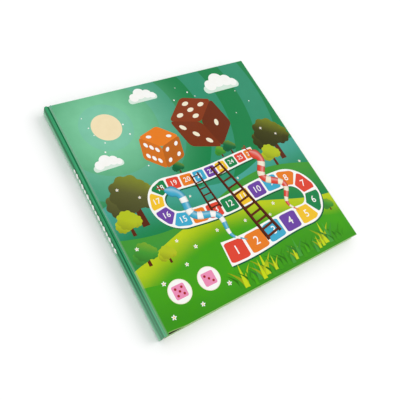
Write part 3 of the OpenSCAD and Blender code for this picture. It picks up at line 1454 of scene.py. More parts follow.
@dataclass(frozen=True)
class PlainWrap(Laminate):
    """Plain printed wrap, faded along its folds.

    Attributes:
        ink: Its ink.
        worn: Ink where it is faded.
        streak: Streaks along the fold.
        mottle: Fine mottle.
    """

    ink: Ink = Ink.PINE
    worn: Ink = Ink.FOREST
    streak: Blots = Blots(2.2, 4, Ease(0.45, 0.7, 0.0, 0.55), (1, 14, 1))
    mottle: Blots = Blots(0.5, 3, Ease(0.55, 0.75, 0.0, 0.25))

    def paint(self, graph: MaterialGraph) -> Socket:
        """Ink with long pale streaks along the fold and a fine mottle."""
        colour = graph.mix(graph.blots(self.streak), self.ink.rgb, self.worn.rgb)
        return graph.mix(graph.blots(self.mottle), colour, Ink.MINT.rgb)


@dataclass(frozen=True)
class FoldedWrap(Laminate):
    """Wrap of the spine and its hinges: a pale face, dark shoulders, lighter ridges and deep green grooves.

    These tones are painted light and shade: the pale face is a painted reflection, the ridges painted
    highlights, the shoulders and grooves painted shade. Its film is rubbed dull along the folds.

    Attributes:
        picture: Picture that begins where a groove ends, or nothing on the spine itself.
        pale: Share of frost on the spine's face, by the height: a painted reflection, paler towards the foot.
        shoulder: End of the painted shade on the shoulder, by the depth below the top of the spine's face.
        sill: End of the painted shade along the lower edge of the spine's face, by the height.
        brow: End of the painted highlight along the upper edge of the spine's face, by the depth.
        ridge: Start of a ridge's lighter tone, a painted highlight, by the distance from the spine's face.
        crease: Distance of the crease's painted shade from the spine's face, by shares of the length from the
            tail.
        groove: End of the crease's painted shade, by the distance from its middle.
        streak: Dark streaks along the fold.
        worn: Share of frost, painted light broken up by scuffs, by shares of the length from the tail.
        scuff: Noise that breaks the painted light towards the tail into scuffs.
        rise: Distance before a cover's edge at which its picture begins.
        blur: Half width of the picture's soft edge.
        sheen: Share of frost where the picture begins: a painted sheen on the groove's far wall.
        shine: Level of its reflections.
    """

    film: float = 0.0
    picture: CoverPicture | None = None
    pale: Ease = Ease(1.5, 7.5, 0.75, 0.0)
    shoulder: Ease = Ease(3.12, 5.2)
    sill: Ease = Ease(0.4, 1.1)
    brow: Ease = Ease(0.5, 1.6)
    ridge: Ease = Ease(0.1, 0.35)
    crease: Ease = Ease(0.0, 0.9, 1.1, 2.8)
    groove: Ease = Ease(0.4, 0.9)
    streak: Blots = Blots(1.6, 4, Ease(0.45, 0.7, 0.0, 0.45), (1, 22, 1))
    worn: Ease = Ease(0.0, 0.35, 0.3, 0.0)
    scuff: Blots = Blots(6, 3, stretch=(1, 5, 1))
    rise: float = 1.7
    blur: float = 0.2
    sheen: float = 0.5
    shine: float = 0.08

    def face(self, graph: MaterialGraph, up: Socket, deep: Socket) -> Socket:
        """Colour of the spine's flat face, with painted light and shade.

        Args:
            graph: The material's tree.
            up: Height over its lower edge.
            deep: Depth below its upper edge.

        Returns:
            The colour.
        """
        # Painted reflection towards the foot, painted shade at the shoulder and lower edge, painted highlight
        # on top.
        colour = graph.mix(graph.fade(up, self.pale), Ink.SAGE.rgb, Ink.FROST.rgb)
        for place, ease, ink in ((deep, self.shoulder, Ink.SPRUCE), (up, self.sill, Ink.SPRUCE),
                                 (deep, self.brow, Ink.SAGE)):
            colour = graph.mix(graph.fade(place, ease), ink.rgb, colour)
        return colour

    def paint(self, graph: MaterialGraph) -> Socket:
        """Painted light and shade by the distance from the spine's face, with long worn streaks, and painted
        light towards the tail.

        Args:
            graph: The material's tree.

        Returns:
            The colour.
        """
        low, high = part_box("spine_wrap")
        length = (high.y - low.y) / MM
        across, along, up = (graph.axis(index, low[index]) for index in range(3))
        askew = graph.math("SUBTRACT", across, graph.fade(along, self.crease.along(length)))
        face = self.face(graph, up, graph.math("SUBTRACT", (high.z - low.z) / MM, up))
        # Painted shade in the crease and a painted highlight on the ridge.
        groove = graph.fade(graph.math("ABSOLUTE", askew), self.groove)
        ridge = graph.mix(groove, Ink.SPRUCE.rgb, Ink.SAGE.rgb)
        colour = graph.mix(graph.fade(across, self.ridge), face, ridge)
        colour = graph.mix(graph.blots(self.streak), colour, Ink.FOREST.rgb)
        # Painted light towards the tail, broken up by scuffs.
        worn = graph.math("MULTIPLY", graph.fade(along, self.worn.along(length)), graph.noise(self.scuff))
        colour = graph.mix(worn, colour, Ink.FROST.rgb)
        if self.picture is None:
            return colour
        edge = (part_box("front_hinge")[1].x - low.x) / MM
        start = edge - self.rise
        # Painted sheen on the groove's far wall, where the picture begins.
        sheen = graph.fade(across, Ease(start, edge, self.sheen, 0.0))
        art = graph.mix(sheen, self.picture.scenery(graph), Ink.FROST.rgb)
        colour = graph.mix(graph.fade(across, Ease(start - self.blur, start + self.blur)), colour, art)
        return graph.mix(graph.attribute("inner", "Fac"), colour, Ink.CREAM.rgb)

    def seal(self, graph: MaterialGraph) -> None:
        """The film's finish, with weaker reflections."""
        super().seal(graph)
        graph.set(Specular_IOR_Level=self.shine)


@dataclass(frozen=True)
class Fibre(Finish):
    """Uncoated paper or board: specks, fibres and a felted, matt surface.

    Attributes:
        ink: Mean colour.
        fleck: Colour of the flecks.
        flecks: Share of the flecks at their strongest.
        speck: Small flecks.
        cloud: Clouds where the stock is thicker.
    """

    ink: Ink = Ink.CREAM
    fleck: Ink = Ink.OLIVE
    flecks: float = 0.25
    speck: Blots = Blots(0.7, 5, Ease(0.55, 0.75), (1, 2.5, 1))
    cloud: Blots = Blots(14, 4, Ease(0.3, 0.75, 0.0, 0.4))

    def paint(self, graph: MaterialGraph) -> Socket:
        """Colour with flecks, and clouds of the same tone.

        Args:
            graph: The material's tree.

        Returns:
            The colour.
        """
        colour: Socket | Array = self.ink.rgb
        for kind in (self.speck, self.cloud):
            colour = graph.mix(graph.blots(kind, self.flecks), colour, self.fleck.rgb)
        return colour


@dataclass(frozen=True)
class Moulded(Finish):
    """Moulded plastic: flow marks in the colour, fine scuffs and a faint orange peel.

    Attributes:
        ink: Its pigment.
        flow: Flow marks.
        shade: Level of the pigment in a flow mark.
    """

    wear: Blots = Blots(0.8, 5, Ease(0.35, 0.75, 1.0, 1.7), (1, 5, 1))
    film: float = 0.2
    film_roughness: float = 0.1
    skin: Blots = Blots(1.2, 2)
    depth: float = 0.006
    ink: Ink = Ink.WHITE
    flow: Blots = Blots(4, 4, Ease(0.3, 0.75, 0.0, 0.18), (1, 2, 1))
    shade: float = 0.6

    def paint(self, graph: MaterialGraph) -> Socket:
        """Pigment with soft flow marks."""
        return graph.mix(graph.blots(self.flow), self.ink.rgb, self.ink.rgb * self.shade)


@dataclass(frozen=True)
class Grain(Finish):
    """Filled rubber or sintered ferrite: a dark, pitted ground with fine bright grains.

    Attributes:
        ink: Ground colour.
        grain: Grain colour.
        speck: Bright grains.
        smear: Broad smears.
        shade: Level of the grains' colour in a smear.
    """

    wear: Blots = Blots(2, 3, Ease(0.3, 0.7, 0.8, 1.0))
    skin: Blots = Blots(0.3, 3)
    depth: float = 0.015
    ink: Ink = Ink.RUBBER
    grain: Ink = Ink.RUBBER_GRAIN
    speck: Blots = Blots(0.3, 4, Ease(0.58, 0.72, 0.0, 0.6))
    smear: Blots = Blots(20, 4, Ease(0.35, 0.75, 0.0, 0.3))
    shade: float = 0.6

    def paint(self, graph: MaterialGraph) -> Socket:
        """Ground with grains and broad smears."""
        ground = graph.mix(graph.blots(self.smear), self.ink.rgb, self.grain.rgb * self.shade)
        return graph.mix(graph.blots(self.speck), ground, self.grain.rgb)

    def with_grains(self, size: float) -> "Grain":
        """The same finish with grains of another width, in millimetres."""
        return replace(self, skin=self.skin._replace(size=size), speck=self.speck._replace(size=size))


@dataclass(frozen=True)
class Floor(Finish):
    """Seamless white paper.

    Attributes:
        tooth: Faint tooth of the paper.
        shade: Level of its darker spots.
    """

    tooth: Blots = Blots(3, 3, Ease(0.4, 0.7, 0.0, 0.02))
    shade: float = 0.9

    def paint(self, graph: MaterialGraph) -> Socket:
        """White with a trace of tooth."""
        return graph.mix(graph.blots(self.tooth), np.ones(3), np.full(3, self.shade))

    def seal(self, graph: MaterialGraph) -> None:
        """Even and flat."""
        graph.set(Roughness=self.gloss.value)


@dataclass(frozen=True)
class HingePaper:
    """Wrap that crosses one hinge groove.

    The section has three tangent arcs: over the spine's round edge, through the groove and up to the cover's
    face. Each arc turns by 2 * atan(2 * depth / groove).

    Attributes:
        node: Node that it replaces.
        upper: Whether it lies on the front cover, turned over.
        groove: Width of the groove, in millimetres.
        depth: Depth of the groove.
        bend: Outer radius of the spine's edge.
        thickness: Thickness of the sheet.
        steps: Points along each arc.
        stations: Sections along the spine.
    """

    node: str
    upper: bool
    groove: float = 4.2
    depth: float = 1.2
    bend: float = 1.35
    thickness: float = 0.2
    steps: int = 14
    stations: int = 21

    def section(self) -> Array:
        """Middle line in millimetres from the spine's bend axis, with the sheet's outer face at height 0.

        Returns:
            Points, shape (n, 2).
        """
        turn = 2 * math.atan(2 * self.depth / self.groove)
        radius = self.bend - self.thickness / 2
        valley = self.groove / (2 * math.sin(turn)) - radius
        drop = self.bend - (radius + valley) * math.cos(turn)
        sweep = np.linspace(0, 1, self.steps)
        arcs = ((0, self.bend, radius, -math.pi / 2 + turn * sweep),
                (self.groove / 2, drop, valley, math.pi / 2 + turn * (1 - 2 * sweep)),
                (self.groove, self.bend, radius, -math.pi / 2 - turn * (1 - sweep)))
        lines = [polar(angle, reach) + np.array((x, z)) for x, z, reach, angle in arcs]
        return np.vstack([lines[0], lines[1][1:], lines[2][1:]])

    def build(self, finish: Finish) -> bpy.types.Object:
        """Carries the section along the spine and bends it between spine and cover.

        Args:
            finish: Its finish.

        Returns:
            The piece.
        """
        low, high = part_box(self.node)
        line = self.section()
        side = normals(line) * self.thickness / 2
        loop = np.vstack([line - side, (line + side)[::-1]]) * MM
        points = np.empty((self.stations, len(loop), 3))
        points[..., 0] = low.x + loop[:, 0]
        points[..., 1] = np.linspace(low.y, high.y, self.stations)[:, None]
        points[..., 2] = high.z - loop[:, 1] if self.upper else low.z + loop[:, 1]
        index = np.arange(points[..., 0].size).reshape(self.stations, -1)
        ring = np.hstack([index, index[:, :1]])
        quads = np.stack([ring[:-1, :-1], ring[:-1, 1:], ring[1:, 1:], ring[1:, :-1]], -1).reshape(-1, 4)
        half = len(line)
        ends = [np.stack([row[:half - 1], row[1:half], row[::-1][1:half], row[::-1][:half - 1]], -1)
                for row in (index[0], index[-1])]
        faces = np.vstack([quads, ends[0][:, ::-1], ends[1]])
        faces = faces if self.upper else faces[:, ::-1]
        piece = make_piece(f"{self.node}_paper", points.reshape(-1, 3), faces.tolist(), None,
                           finish, smooth=True)
        rest = piece.data.attributes.new(finish.place, "FLOAT_VECTOR", "POINT")
        rest.data.foreach_set("vector", points.astype(np.float32).ravel())
        inner = piece.data.attributes.new("inner", "FLOAT", "POINT")
        inside = np.tile(np.repeat([0.0, 1.0], half), self.stations)
        inner.data.foreach_set("value", inside.astype(np.float32))
        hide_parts(self.node)
        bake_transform(piece)
        return piece


@dataclass(frozen=True)
class FrontPrint:
    """The front cover's print: sun, clouds, trees, dice, path, ladders, snakes, grass, blossoms and badges.

    Attributes:
        sheet: Sheet that carries it.
        ink: Finish of the print.
        path: Path of tiles.
        trees: Trees, from back to front.
        clouds: Clouds.
        ladders: Ladders.
        snakes: Snakes.
        dice: Dice.
        badges: Badges.
        blossoms: Middle and reach of each blossom.
        seed: Seed of the grass and the sparks.
        scatter: Number of tufts, and of sparks.
        tuft_across: Where the first and the last tuft stand.
        tuft_foot: Least and greatest height of a tuft's foot.
        tuft_height: Least and greatest height of a tuft.
        tuft_inks: Inks of the tufts.
        spark_across: Limits of the sparks across the cover.
        spark_along: Limits of the sparks along the cover.
        spark_radius: Least and greatest radius of a spark.
        sun: Middle of the sun.
        sun_radius: Its radius.
        sun_pale: Share of cream in its ink.
    """

    sheet: Sheet
    ink: InkPrint
    path: TilePath = TilePath((35, 73, 106), (72, 162, 57, 150), (9.5, 4.6), 26, (
        Ink.CORAL, Ink.ORANGE, Ink.SKY, Ink.VIOLET, Ink.YELLOW, Ink.FOREST), 3)
    trees: tuple[Tree, ...] = (
        Tree((24, 80), 30, 19, Ink.OLIVE, 1), Tree((12, 76), 14, 9.5, Ink.MOSS, 2),
        Tree((177, 92), 30, 18, Ink.THICKET, 1), Tree((166, 88), 15, 9, Ink.MOSS, 2),
        Tree((12, 50), 12, 9, Ink.FERN, 1), Tree((28, 46), 9, 6.5, Ink.MOSS, 2),
        Tree((119, 113), 7, 5, Ink.FERN, 1), Tree((130, 113), 9, 6, Ink.PINE, 2),
        Tree((74, 112), 7, 5, Ink.PINE, 1), Tree((190, 30), 7, 5.5, Ink.FERN, 1),
    )
    clouds: tuple[Cloud, ...] = (Cloud((160, 182), 40, 1), Cloud((78, 190), 28, 1), Cloud((20, 138), 26, 1))
    ladders: tuple[Ladder, ...] = (
        Ladder((122, 34), (107, 107), (15, 10), 11, 6), Ladder((86, 74), (84, 105), (9.5, 7), 6, 6),
    )
    snakes: tuple[Snake, ...] = (
        Snake((146, 110), (158, 42), 3.8, 7, 2.0, Ink.CORAL, Ink.CREAM, 8),
        Snake((52, 103), (96, 38), 3.5, 6, 2.0, Ink.SKY, Ink.WHITE, 8),
    )
    dice: tuple[Die, ...] = (
        Die((118, 152), 15, 12, Ink.RUST, Ink.CREAM, (5, 3, 1), 2),
        Die((70, 140), 10.5, -14, Ink.ORANGE, Ink.WHITE, (2, 6, 4), 2),
    )
    badges: tuple[Badge, ...] = (Badge((22.5, 24.0), 5, 1), Badge((48.5, 23.2), 3, 1))
    blossoms: tuple[tuple[Point, float], ...] = (
        ((8, 66), 1.7), ((40, 60), 1.5), ((52, 50), 1.9), ((14, 34), 2.0), ((38, 40), 1.8),
        ((62, 13), 2.2), ((9, 9), 2.2), ((34, 8), 2.0), ((76, 55), 1.7), ((104, 53), 1.6),
        ((138, 57), 1.7), ((129, 49), 1.5), ((190, 84), 1.5), ((120, 90), 1.2), ((70, 90), 1.2),
        ((16, 116), 1.4), ((30, 104), 1.3), ((172, 128), 1.4), ((184, 118), 1.3),
    )
    seed: int = 4
    scatter: int = 26
    tuft_across: Point = (70, 184)
    tuft_foot: Point = (1.5, 6)
    tuft_height: Point = (10, 21)
    tuft_inks: tuple[Ink, ...] = (Ink.FERN, Ink.MEADOW, Ink.GRASS, Ink.LIME)
    spark_across: Point = (6, 194)
    spark_along: Point = (120, 200)
    spark_radius: Point = (0.35, 0.8)
    sun: Point = (34, 172)
    sun_radius: float = 13
    sun_pale: float = 0.75

    def tufts(self, rng: np.random.Generator) -> list[Tuft]:
        """Tufts at even steps, with drawn feet, heights and inks, on three layers in turn.

        Args:
            rng: Source of the draws.

        Returns:
            The tufts.
        """
        across = np.linspace(*self.tuft_across, self.scatter)
        feet, heights = (rng.uniform(*limits, self.scatter) for limits in (self.tuft_foot, self.tuft_height))
        inks = rng.choice(list(self.tuft_inks), self.scatter)
        return [Tuft((x, y), height, ink, 1 + step % 3)
                for step, (x, y, height, ink) in enumerate(zip(across, feet, heights, inks))]

    def sparks(self, rng: np.random.Generator) -> list[Printed]:
        """White sparks at drawn places, with drawn radii.

        Args:
            rng: Source of the draws.

        Returns:
            The sparks.
        """
        draws = [rng.uniform(*limits, self.scatter)
                 for limits in (self.spark_across, self.spark_along, self.spark_radius)]
        return [disc((x, y), radius, Ink.WHITE.rgb, 1) for x, y, radius in zip(*draws)]

    def build(self) -> None:
        """Prints the motifs, one piece for each kind."""
        rng = np.random.default_rng(self.seed)
        self.sheet.build_motifs(
            "cover", self.ink, trees=self.trees, clouds=self.clouds, ladders=self.ladders, snakes=self.snakes,
            dice=self.dice, tufts=self.tufts(rng), path=(self.path,),
            blossoms=[Blossom(centre, size, 4) for centre, size in self.blossoms], badges=self.badges)
        pale = mixed(Ink.YELLOW.rgb, Ink.CREAM.rgb, self.sun_pale)
        self.sheet.build("cover_sun", [disc(self.sun, self.sun_radius, pale, 2), *self.sparks(rng)], self.ink)


@dataclass
class Covers:
    """The two covers: boards, wraps, linings, hinges and spine, with the print on the front and the spine.

    Attributes:
        ink: Finish of the print.
        hills: Hills of both covers, from back to front.
        back_centre: Middle of the back cover's rings.
        slit: Width of the painted shade of the slit at the front cover's tail, by the distance from the hinge.
        lining_felt: Depth of the linings' felt.
        marks: Number of marks on the spine.
        mark_run: Where the first and the last mark stand.
        diamond: Half edge and corner radius of a diamond.
        dot: Radius of a dot.
    """

    ink: InkPrint
    hills: tuple[Hill, ...] = (
        Hill(100, 9, 170, 40, Ink.TEAL, Ink.FOREST, 40),
        Hill(80, 10, 210, 200, Ink.FERN, Ink.FOREST, 40),
        Hill(58, 13, 250, 330, Ink.LIME, Ink.GRASS, 24),
        Hill(30, 8, 150, 120, Ink.GRASS, Ink.MEADOW, 30),
    )
    back_centre: Point = (165, 172)
    slit: Ease = Ease(0.0, 17.0, 1.4, 0.0)
    lining_felt: float = 0.012
    marks: int = 16
    mark_run: Point = (60, 132)
    diamond: Point = (2.0, 0.4)
    dot: float = 1.7

    def front_sheet(self) -> Sheet:
        """Outer face of the front cover, from its hinge edge and tail."""
        low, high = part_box("front_wrap")
        return Sheet("front_cover", "printed_wrap", Vector((low.x, low.y, high.z)), ACROSS, ALONG)

    def back_sheet(self) -> Sheet:
        """Outer face of the back cover, seen from below."""
        low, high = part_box("back_wrap")
        return Sheet("back_cover", "printed_wrap", Vector((high.x, low.y, low.z)), -ACROSS, ALONG)

    def spine_sheet(self) -> Sheet:
        """Flat face of the spine, from its head and lower edge."""
        low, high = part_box("spine_wrap")
        return Sheet("spine", "hinge_wrap", Vector((low.x, high.y, low.z)), -ALONG, UP)

    def dress(self) -> None:
        """Gives the covers' nodes their finishes."""
        front = CoverPicture("front_picture", Gloss.FILM, sheet=self.front_sheet(), hills=self.hills,
                             slit=self.slit)
        front.dress("front_wrap")
        back = CoverPicture("back_picture", Gloss.FILM, node="back_wrap", sheet=self.back_sheet(),
                            centre=self.back_centre, hills=self.hills)
        back.dress("back_wrap")
        FoldedWrap("spine_fold", Gloss.FOLD).dress("spine_wrap")
        for side, picture in (("front", front), ("back", back)):
            finish = FoldedWrap(f"{side}_fold", Gloss.FOLD, "rest", picture=picture)
            HingePaper(f"{side}_hinge", side == "front").build(finish)
        board = Fibre("board_grey", Gloss.MATT, ink=Ink.BOARD, fleck=Ink.BOARD_FLECK)
        board.dress("back_board", "front_board", "spine_board")
        lining = Fibre("lining", Gloss.LINING, depth=self.lining_felt, ink=Ink.LINING, fleck=Ink.LINING_FLECK)
        lining.dress("back_lining", "front_lining", "spine_lining")

    def print_front(self) -> None:
        """Prints the front cover."""
        FrontPrint(self.front_sheet(), self.ink).build()

    def print_spine(self) -> None:
        """Prints a row of plain white marks, dots and diamonds in turn, along the middle of the spine."""
        low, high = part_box("spine_wrap")
        middle = (high.z - low.z) / MM / 2
        half, corner = self.diamond
        shapes = (rounded((self.dot, self.dot), self.dot), rounded((half, half), corner))
        marks = [Patch(turned(shapes[step % 2], 45, (place, middle)), Ink.WHITE.rgb, 1)
                 for step, place in enumerate(np.linspace(*self.mark_run, self.marks))]
        self.spine_sheet().build("spine_marks", marks, self.ink)


@dataclass
class PlayingField:
    """The magnetic sheet and the hundred squares printed on it.

    Attributes:
        ink: Finish of the print.
        film: Share of the paper's clear film.
        columns: Squares in a row, and rows.
        pitch: Distance from square to square.
        gap: Width of the ground left round a square.
        corner: Radius of a square's corners.
        tints: Inks of the squares.
        whitened: Share of white in those inks.
        number_at: Place of a number from its square's middle.
        number_size: Height of a number.
        climbs: Squares at the foot and the top of each ladder.
        ladder_width: Width of a ladder.
        falls: Squares at the head and the tail of each snake.
        snake_width: Half width of a snake.
        snake_swing: Reach of its waves.
        snake_inks: Inks of bodies and bands, used in turn.
        bands: Bands on a snake.
    """

    ink: InkPrint
    film: float = 0.1
    columns: int = 10
    pitch: float = 18.5
    gap: float = 0.35
    corner: float = 1.6
    tints: tuple[Ink, ...] = (Ink.MIST, Ink.YELLOW, Ink.ORANGE, Ink.SKY, Ink.ROSE)
    whitened: float = 0.35
    number_at: Point = (-4.3, 5.0)
    number_size: float = 5.4
    climbs: tuple[tuple[int, int], ...] = (
        (3, 22), (8, 34), (11, 49), (40, 59), (45, 64), (51, 72), (74, 95), (79, 98),
    )
    ladder_width: float = 8
    falls: tuple[tuple[int, int], ...] = ((25, 6), (44, 18), (54, 35), (81, 60), (85, 66), (93, 68))
    snake_width: float = 2.9
    snake_swing: float = 5.5
    snake_inks: tuple[tuple[Ink, Ink], ...] = (
        (Ink.CORAL, Ink.CREAM), (Ink.SKY, Ink.WHITE), (Ink.ORANGE, Ink.VIOLET), (Ink.VIOLET, Ink.YELLOW),
        (Ink.FERN, Ink.YELLOW),
    )
    bands: int = 8

    def sheet(self) -> Sheet:
        """Face of the field, from its middle, as it is read with the case open.

        Returns:
            The sheet.
        """
        low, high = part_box("playing_field")
        middle = (low + high) / 2
        return Sheet("front_cover", "field_print", Vector((middle.x, middle.y, low.z)), -ACROSS, ALONG)

    def centre(self, number: int) -> Point:
        """Middle of a square: rows run right and left in turn, from the lowest.

        Args:
            number: Number of the square, from 1.

        Returns:
            Its middle on the sheet.
        """
        row, column = divmod(number - 1, self.columns)
        column = column if row % 2 == 0 else self.columns - 1 - column
        shift = (self.columns - 1) / 2
        return (column - shift) * self.pitch, (row - shift) * self.pitch

    def dress(self) -> None:
        """Gives the sheet and the field's paper their finishes."""
        Grain("rubber_sheet", Gloss.RUBBER).dress("magnetic_sheet")
        ground = PlainWrap("field_ground", Gloss.PAPER, film=self.film, ink=Ink.FOREST, worn=Ink.FERN)
        ground.dress("playing_field")

    def ladder(self, foot: int, top: int) -> Ladder:
        """A ladder between two squares, with four rungs and one more for every five squares."""
        widths = (self.ladder_width, self.ladder_width)
        return Ladder(self.centre(foot), self.centre(top), widths, 4 + (top - foot) // 5, 3)

    def snake(self, head: int, tail: int, step: int) -> Snake:
        """A snake between two squares, with one and a half waves and one more for every forty squares.

        Args:
            head: Square at its head.
            tail: Square at its tail.
            step: Its place in the row of inks.

        Returns:
            The snake.
        """
        inks = self.snake_inks[step % len(self.snake_inks)]
        return Snake(self.centre(head), self.centre(tail), self.snake_width, self.snake_swing,
                     1.5 + (head - tail) / 40, *inks, 6, self.bands)

    def build(self) -> None:
        """Prints squares, numbers, ladders and snakes."""
        sheet = self.sheet()
        tints = [mixed(ink.rgb, Ink.WHITE.rgb, self.whitened) for ink in self.tints]
        squares: list[Printed] = []
        numbers: list[Printed] = []
        half = self.pitch / 2 - self.gap
        square = rounded((half, half), self.corner, 3)
        for number in range(1, self.columns**2 + 1):
            x, y = self.centre(number)
            column, row = (round(place / self.pitch - 0.5) for place in (x, y))
            squares.append(Patch(square + np.array((x, y)), tints[(column * 2 + row) % len(tints)], 1))
            place = (x + self.number_at[0], y + self.number_at[1])
            numbers.append(Numeral(str(number), place, self.number_size, Ink.COCOA, 2))
        sheet.build("field_squares", squares, self.ink)
        sheet.build("field_numbers", numbers, self.ink)
        sheet.build_motifs("field", self.ink, ladders=[self.ladder(*climb) for climb in self.climbs],
                           snakes=[self.snake(*fall, step) for step, fall in enumerate(self.falls)])


@dataclass
class Tray:
    """The tray with its spinner and counters.

    Attributes:
        ink: Finish of the print.
        film: Share of the clear film on the tray's face.
        hills: Hills of the tray's picture.
        ring: Width of a pair of rings in it.
        flecks: Share of the flecks in the tray's stock.
        dial_felt: Depth of the felt on the dial.
        magnet_grain: Width of a grain in the magnets.
        counters: Ink of each counter.
        sectors: Inks of the dial's sectors.
        sector_gap: Half the angle left between sectors, in degrees.
        hub: Radius at which a sector starts.
        margin: Width of the dial's plain rim.
        spot_at: Distance of the dial's numbers from its middle, as a share of its radius.
        spot: Radius of the white spot under a number.
        spot_digits: Height of a number.
        halo: Distance of the ring from the dial's rim, and half its width.
        arc: Angles between which an arc runs round a counter's well, in degrees.
        arc_line: Distance of an arc from the counter's rim, and half its width.
        points: Points along the ring, an arc and a sector.
        faces: Height of the row of die faces, their pitch and their half edge.
        clouds: Clouds on the tray.
        trees: Trees on the tray.
    """

    ink: InkPrint
    film: float = 0.1
    hills: tuple[Hill, ...] = (
        Hill(-30, 7, 170, 60, Ink.LIME, Ink.GRASS, 22),
        Hill(-56, 6, 130, 200, Ink.GRASS, Ink.MEADOW, 34),
    )
    ring: float = 38
    flecks: float = 0.35
    dial_felt: float = 0.008
    magnet_grain: float = 0.2
    counters: tuple[tuple[str, Ink], ...] = (
        ("red", Ink.CORAL), ("yellow", Ink.YELLOW), ("blue", Ink.SKY), ("purple", Ink.VIOLET),
    )
    sectors: tuple[Ink, ...] = (Ink.CORAL, Ink.YELLOW, Ink.FERN, Ink.SKY, Ink.VIOLET, Ink.ORANGE)
    sector_gap: float = 0.8
    hub: float = 6.0
    margin: float = 2.5
    spot_at: float = 0.72
    spot: float = 8.0
    spot_digits: float = 12
    halo: Point = (2.6, 0.8)
    arc: Point = (-38, 218)
    arc_line: Point = (2.2, 0.6)
    points: tuple[int, int, int] = (96, 48, 25)
    faces: Triple = (-38.0, 24.0, 6.5)
    clouds: tuple[Cloud, ...] = (Cloud((-66, 76), 34, 1), Cloud((70, 62), 28, 1), Cloud((74, 4), 22, 1))
    trees: tuple[Tree, ...] = (
        Tree((-72, -26), 20, 13, Ink.OLIVE, 1), Tree((-54, -27), 11, 7.5, Ink.MOSS, 2),
        Tree((76, -30), 17, 11, Ink.PINE, 1), Tree((60, -31), 10, 7, Ink.MOSS, 2),
    )

    def face_sheet(self) -> Sheet:
        """Upper face of the tray, from the frame's own origin."""
        _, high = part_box("tray_face")
        return Sheet("back_cover", "tray_print", Vector((0, 0, high.z)), ACROSS, ALONG)

    def round_of(self, node: str) -> tuple[Array, float]:
        """Middle and radius of a round node, in millimetres."""
        low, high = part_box(node)
        return np.array((low + high)[:2]) / 2 / MM, (high.x - low.x) / MM / 2

    def dress(self) -> None:
        """Gives the tray's nodes their finishes."""
        stock = Fibre("tray_stock", Gloss.TRAY, ink=Ink.TRAY, fleck=Ink.TRAY_FLECK, flecks=self.flecks)
        stock.dress("tray_frame")
        centre, _ = self.round_of("spinner_dial")
        picture = CoverPicture(
            "tray_picture", Gloss.PAPER, film=self.film, node="tray_face", sheet=self.face_sheet(),
            centre=tuple(centre), ring=self.ring, hills=self.hills)
        picture.dress("tray_face")
        dial = Fibre("dial_stock", Gloss.DIAL, depth=self.dial_felt, ink=Ink.CREAM, fleck=Ink.DIAL_FLECK)
        dial.dress("spinner_dial")
        Moulded("white_gloss", Gloss.POST).dress("spinner_post", "spinner_cap")
        Moulded("arrow_gloss", Gloss.ARROW, ink=Ink.CRIMSON).dress("spinner_arrow")
        for colour, ink in self.counters:
            Moulded(f"{colour}_gloss", Gloss.COUNTER, ink=ink).dress(f"counter_{colour}")
        ferrite = Grain("ferrite_grain", Gloss.FERRITE, ink=Ink.FERRITE, grain=Ink.FERRITE_GRAIN)
        ferrite.with_grains(self.magnet_grain).dress("counter_magnets")

    def print_dial(self) -> None:
        """Prints six sectors with their numbers on the dial."""
        low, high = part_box("spinner_dial")
        middle = (low + high) / 2
        sheet = Sheet("back_cover", "dial_card", Vector((middle.x, middle.y, high.z)), ACROSS, ALONG)
        _, rim = self.round_of("spinner_dial")
        reach = np.array([self.hub, rim - self.margin])
        sweep = 360 / len(self.sectors)
        parts: list[Printed] = []
        for step, ink in enumerate(self.sectors):
            ends = (sweep * step + self.sector_gap, sweep * (step + 1) - self.sector_gap)
            angle = np.radians(np.linspace(*ends, self.points[2]))
            parts.append(Patch(polar(angle[:, None], reach), ink.rgb, 1))
            turn = sweep * (step + 0.5) - 90
            place = tuple(turned(np.array((0.0, rim * self.spot_at)), turn))
            parts.append(disc(place, self.spot, Ink.WHITE.rgb, 2))
            parts.append(Numeral(str(step + 1), place, self.spot_digits, Ink.COCOA, 3, turn))
        sheet.build("dial_print", parts, self.ink)

    def print_face(self) -> None:
        """Prints a ring round the spinner's well, arcs round the counters', die faces, clouds and trees."""
        sheet = self.face_sheet()
        centre, rim = self.round_of("spinner_dial")
        away, half = self.halo
        angle = np.linspace(0, 2 * math.pi, self.points[0], endpoint=False)
        ring = centre + polar(angle, rim + away)
        parts: list[Printed] = [ribbon(ring, half, Ink.WHITE.rgb, 1, closed=True)]
        away, half = self.arc_line
        for colour, _ in self.counters:
            spot, radius = self.round_of(f"counter_{colour}")
            arc = spot + polar(np.radians(np.linspace(*self.arc, self.points[1])), radius + away)
            parts.append(ribbon(arc, half, Ink.WHITE.rgb, 1))
        height, pitch, edge = self.faces
        for count in PIPS:
            place = (centre[0] + (count - (len(PIPS) + 1) / 2) * pitch, height)
            face = DieFace(place, ((edge, 0), (0, edge)), count, Ink.WHITE.rgb, Ink.CRIMSON, 1)
            parts += face.patches()
        sheet.build("tray_marks", parts, self.ink)
        sheet.build_motifs("tray", self.ink, clouds=self.clouds, trees=self.trees)


@dataclass(frozen=True)
class Camera:
    """The photograph's viewpoint.

    Attributes:
        at: Its place, in millimetres.
        aim: Point at the middle of the picture.
        roll: Turn about its own axis, in degrees.
        lens: Focal length, in millimetres.
        sensor: Width of the sensor, in millimetres.
        nearest: Least distance that it sees, in metres.
    """

    at: Triple = (-216.99, -124.83, 348.0)
    aim: Triple = (-20.69, -18.6, 11.1)
    roll: float = 35.57
    lens: float = 44.38
    sensor: float = 36
    nearest: float = 0.01

    def build(self) -> None:
        """Makes the scene's camera."""
        look = (Vector(self.aim) - Vector(self.at)).normalized()
        level = look.cross(UP).normalized()
        right = Matrix.Rotation(math.radians(self.roll), 3, -look) @ level
        data = bpy.data.cameras.new("camera")
        data.sensor_width = self.sensor
        data.lens = self.lens
        data.clip_start = self.nearest
        camera = bpy.data.objects.new("camera", data)
        turn = Matrix((right, right.cross(look), -look)).transposed().to_4x4()
        camera.matrix_world = Matrix.Translation(Vector(self.at) * MM) @ turn
        bpy.context.scene.collection.objects.link(camera)
        bpy.context.scene.camera = camera


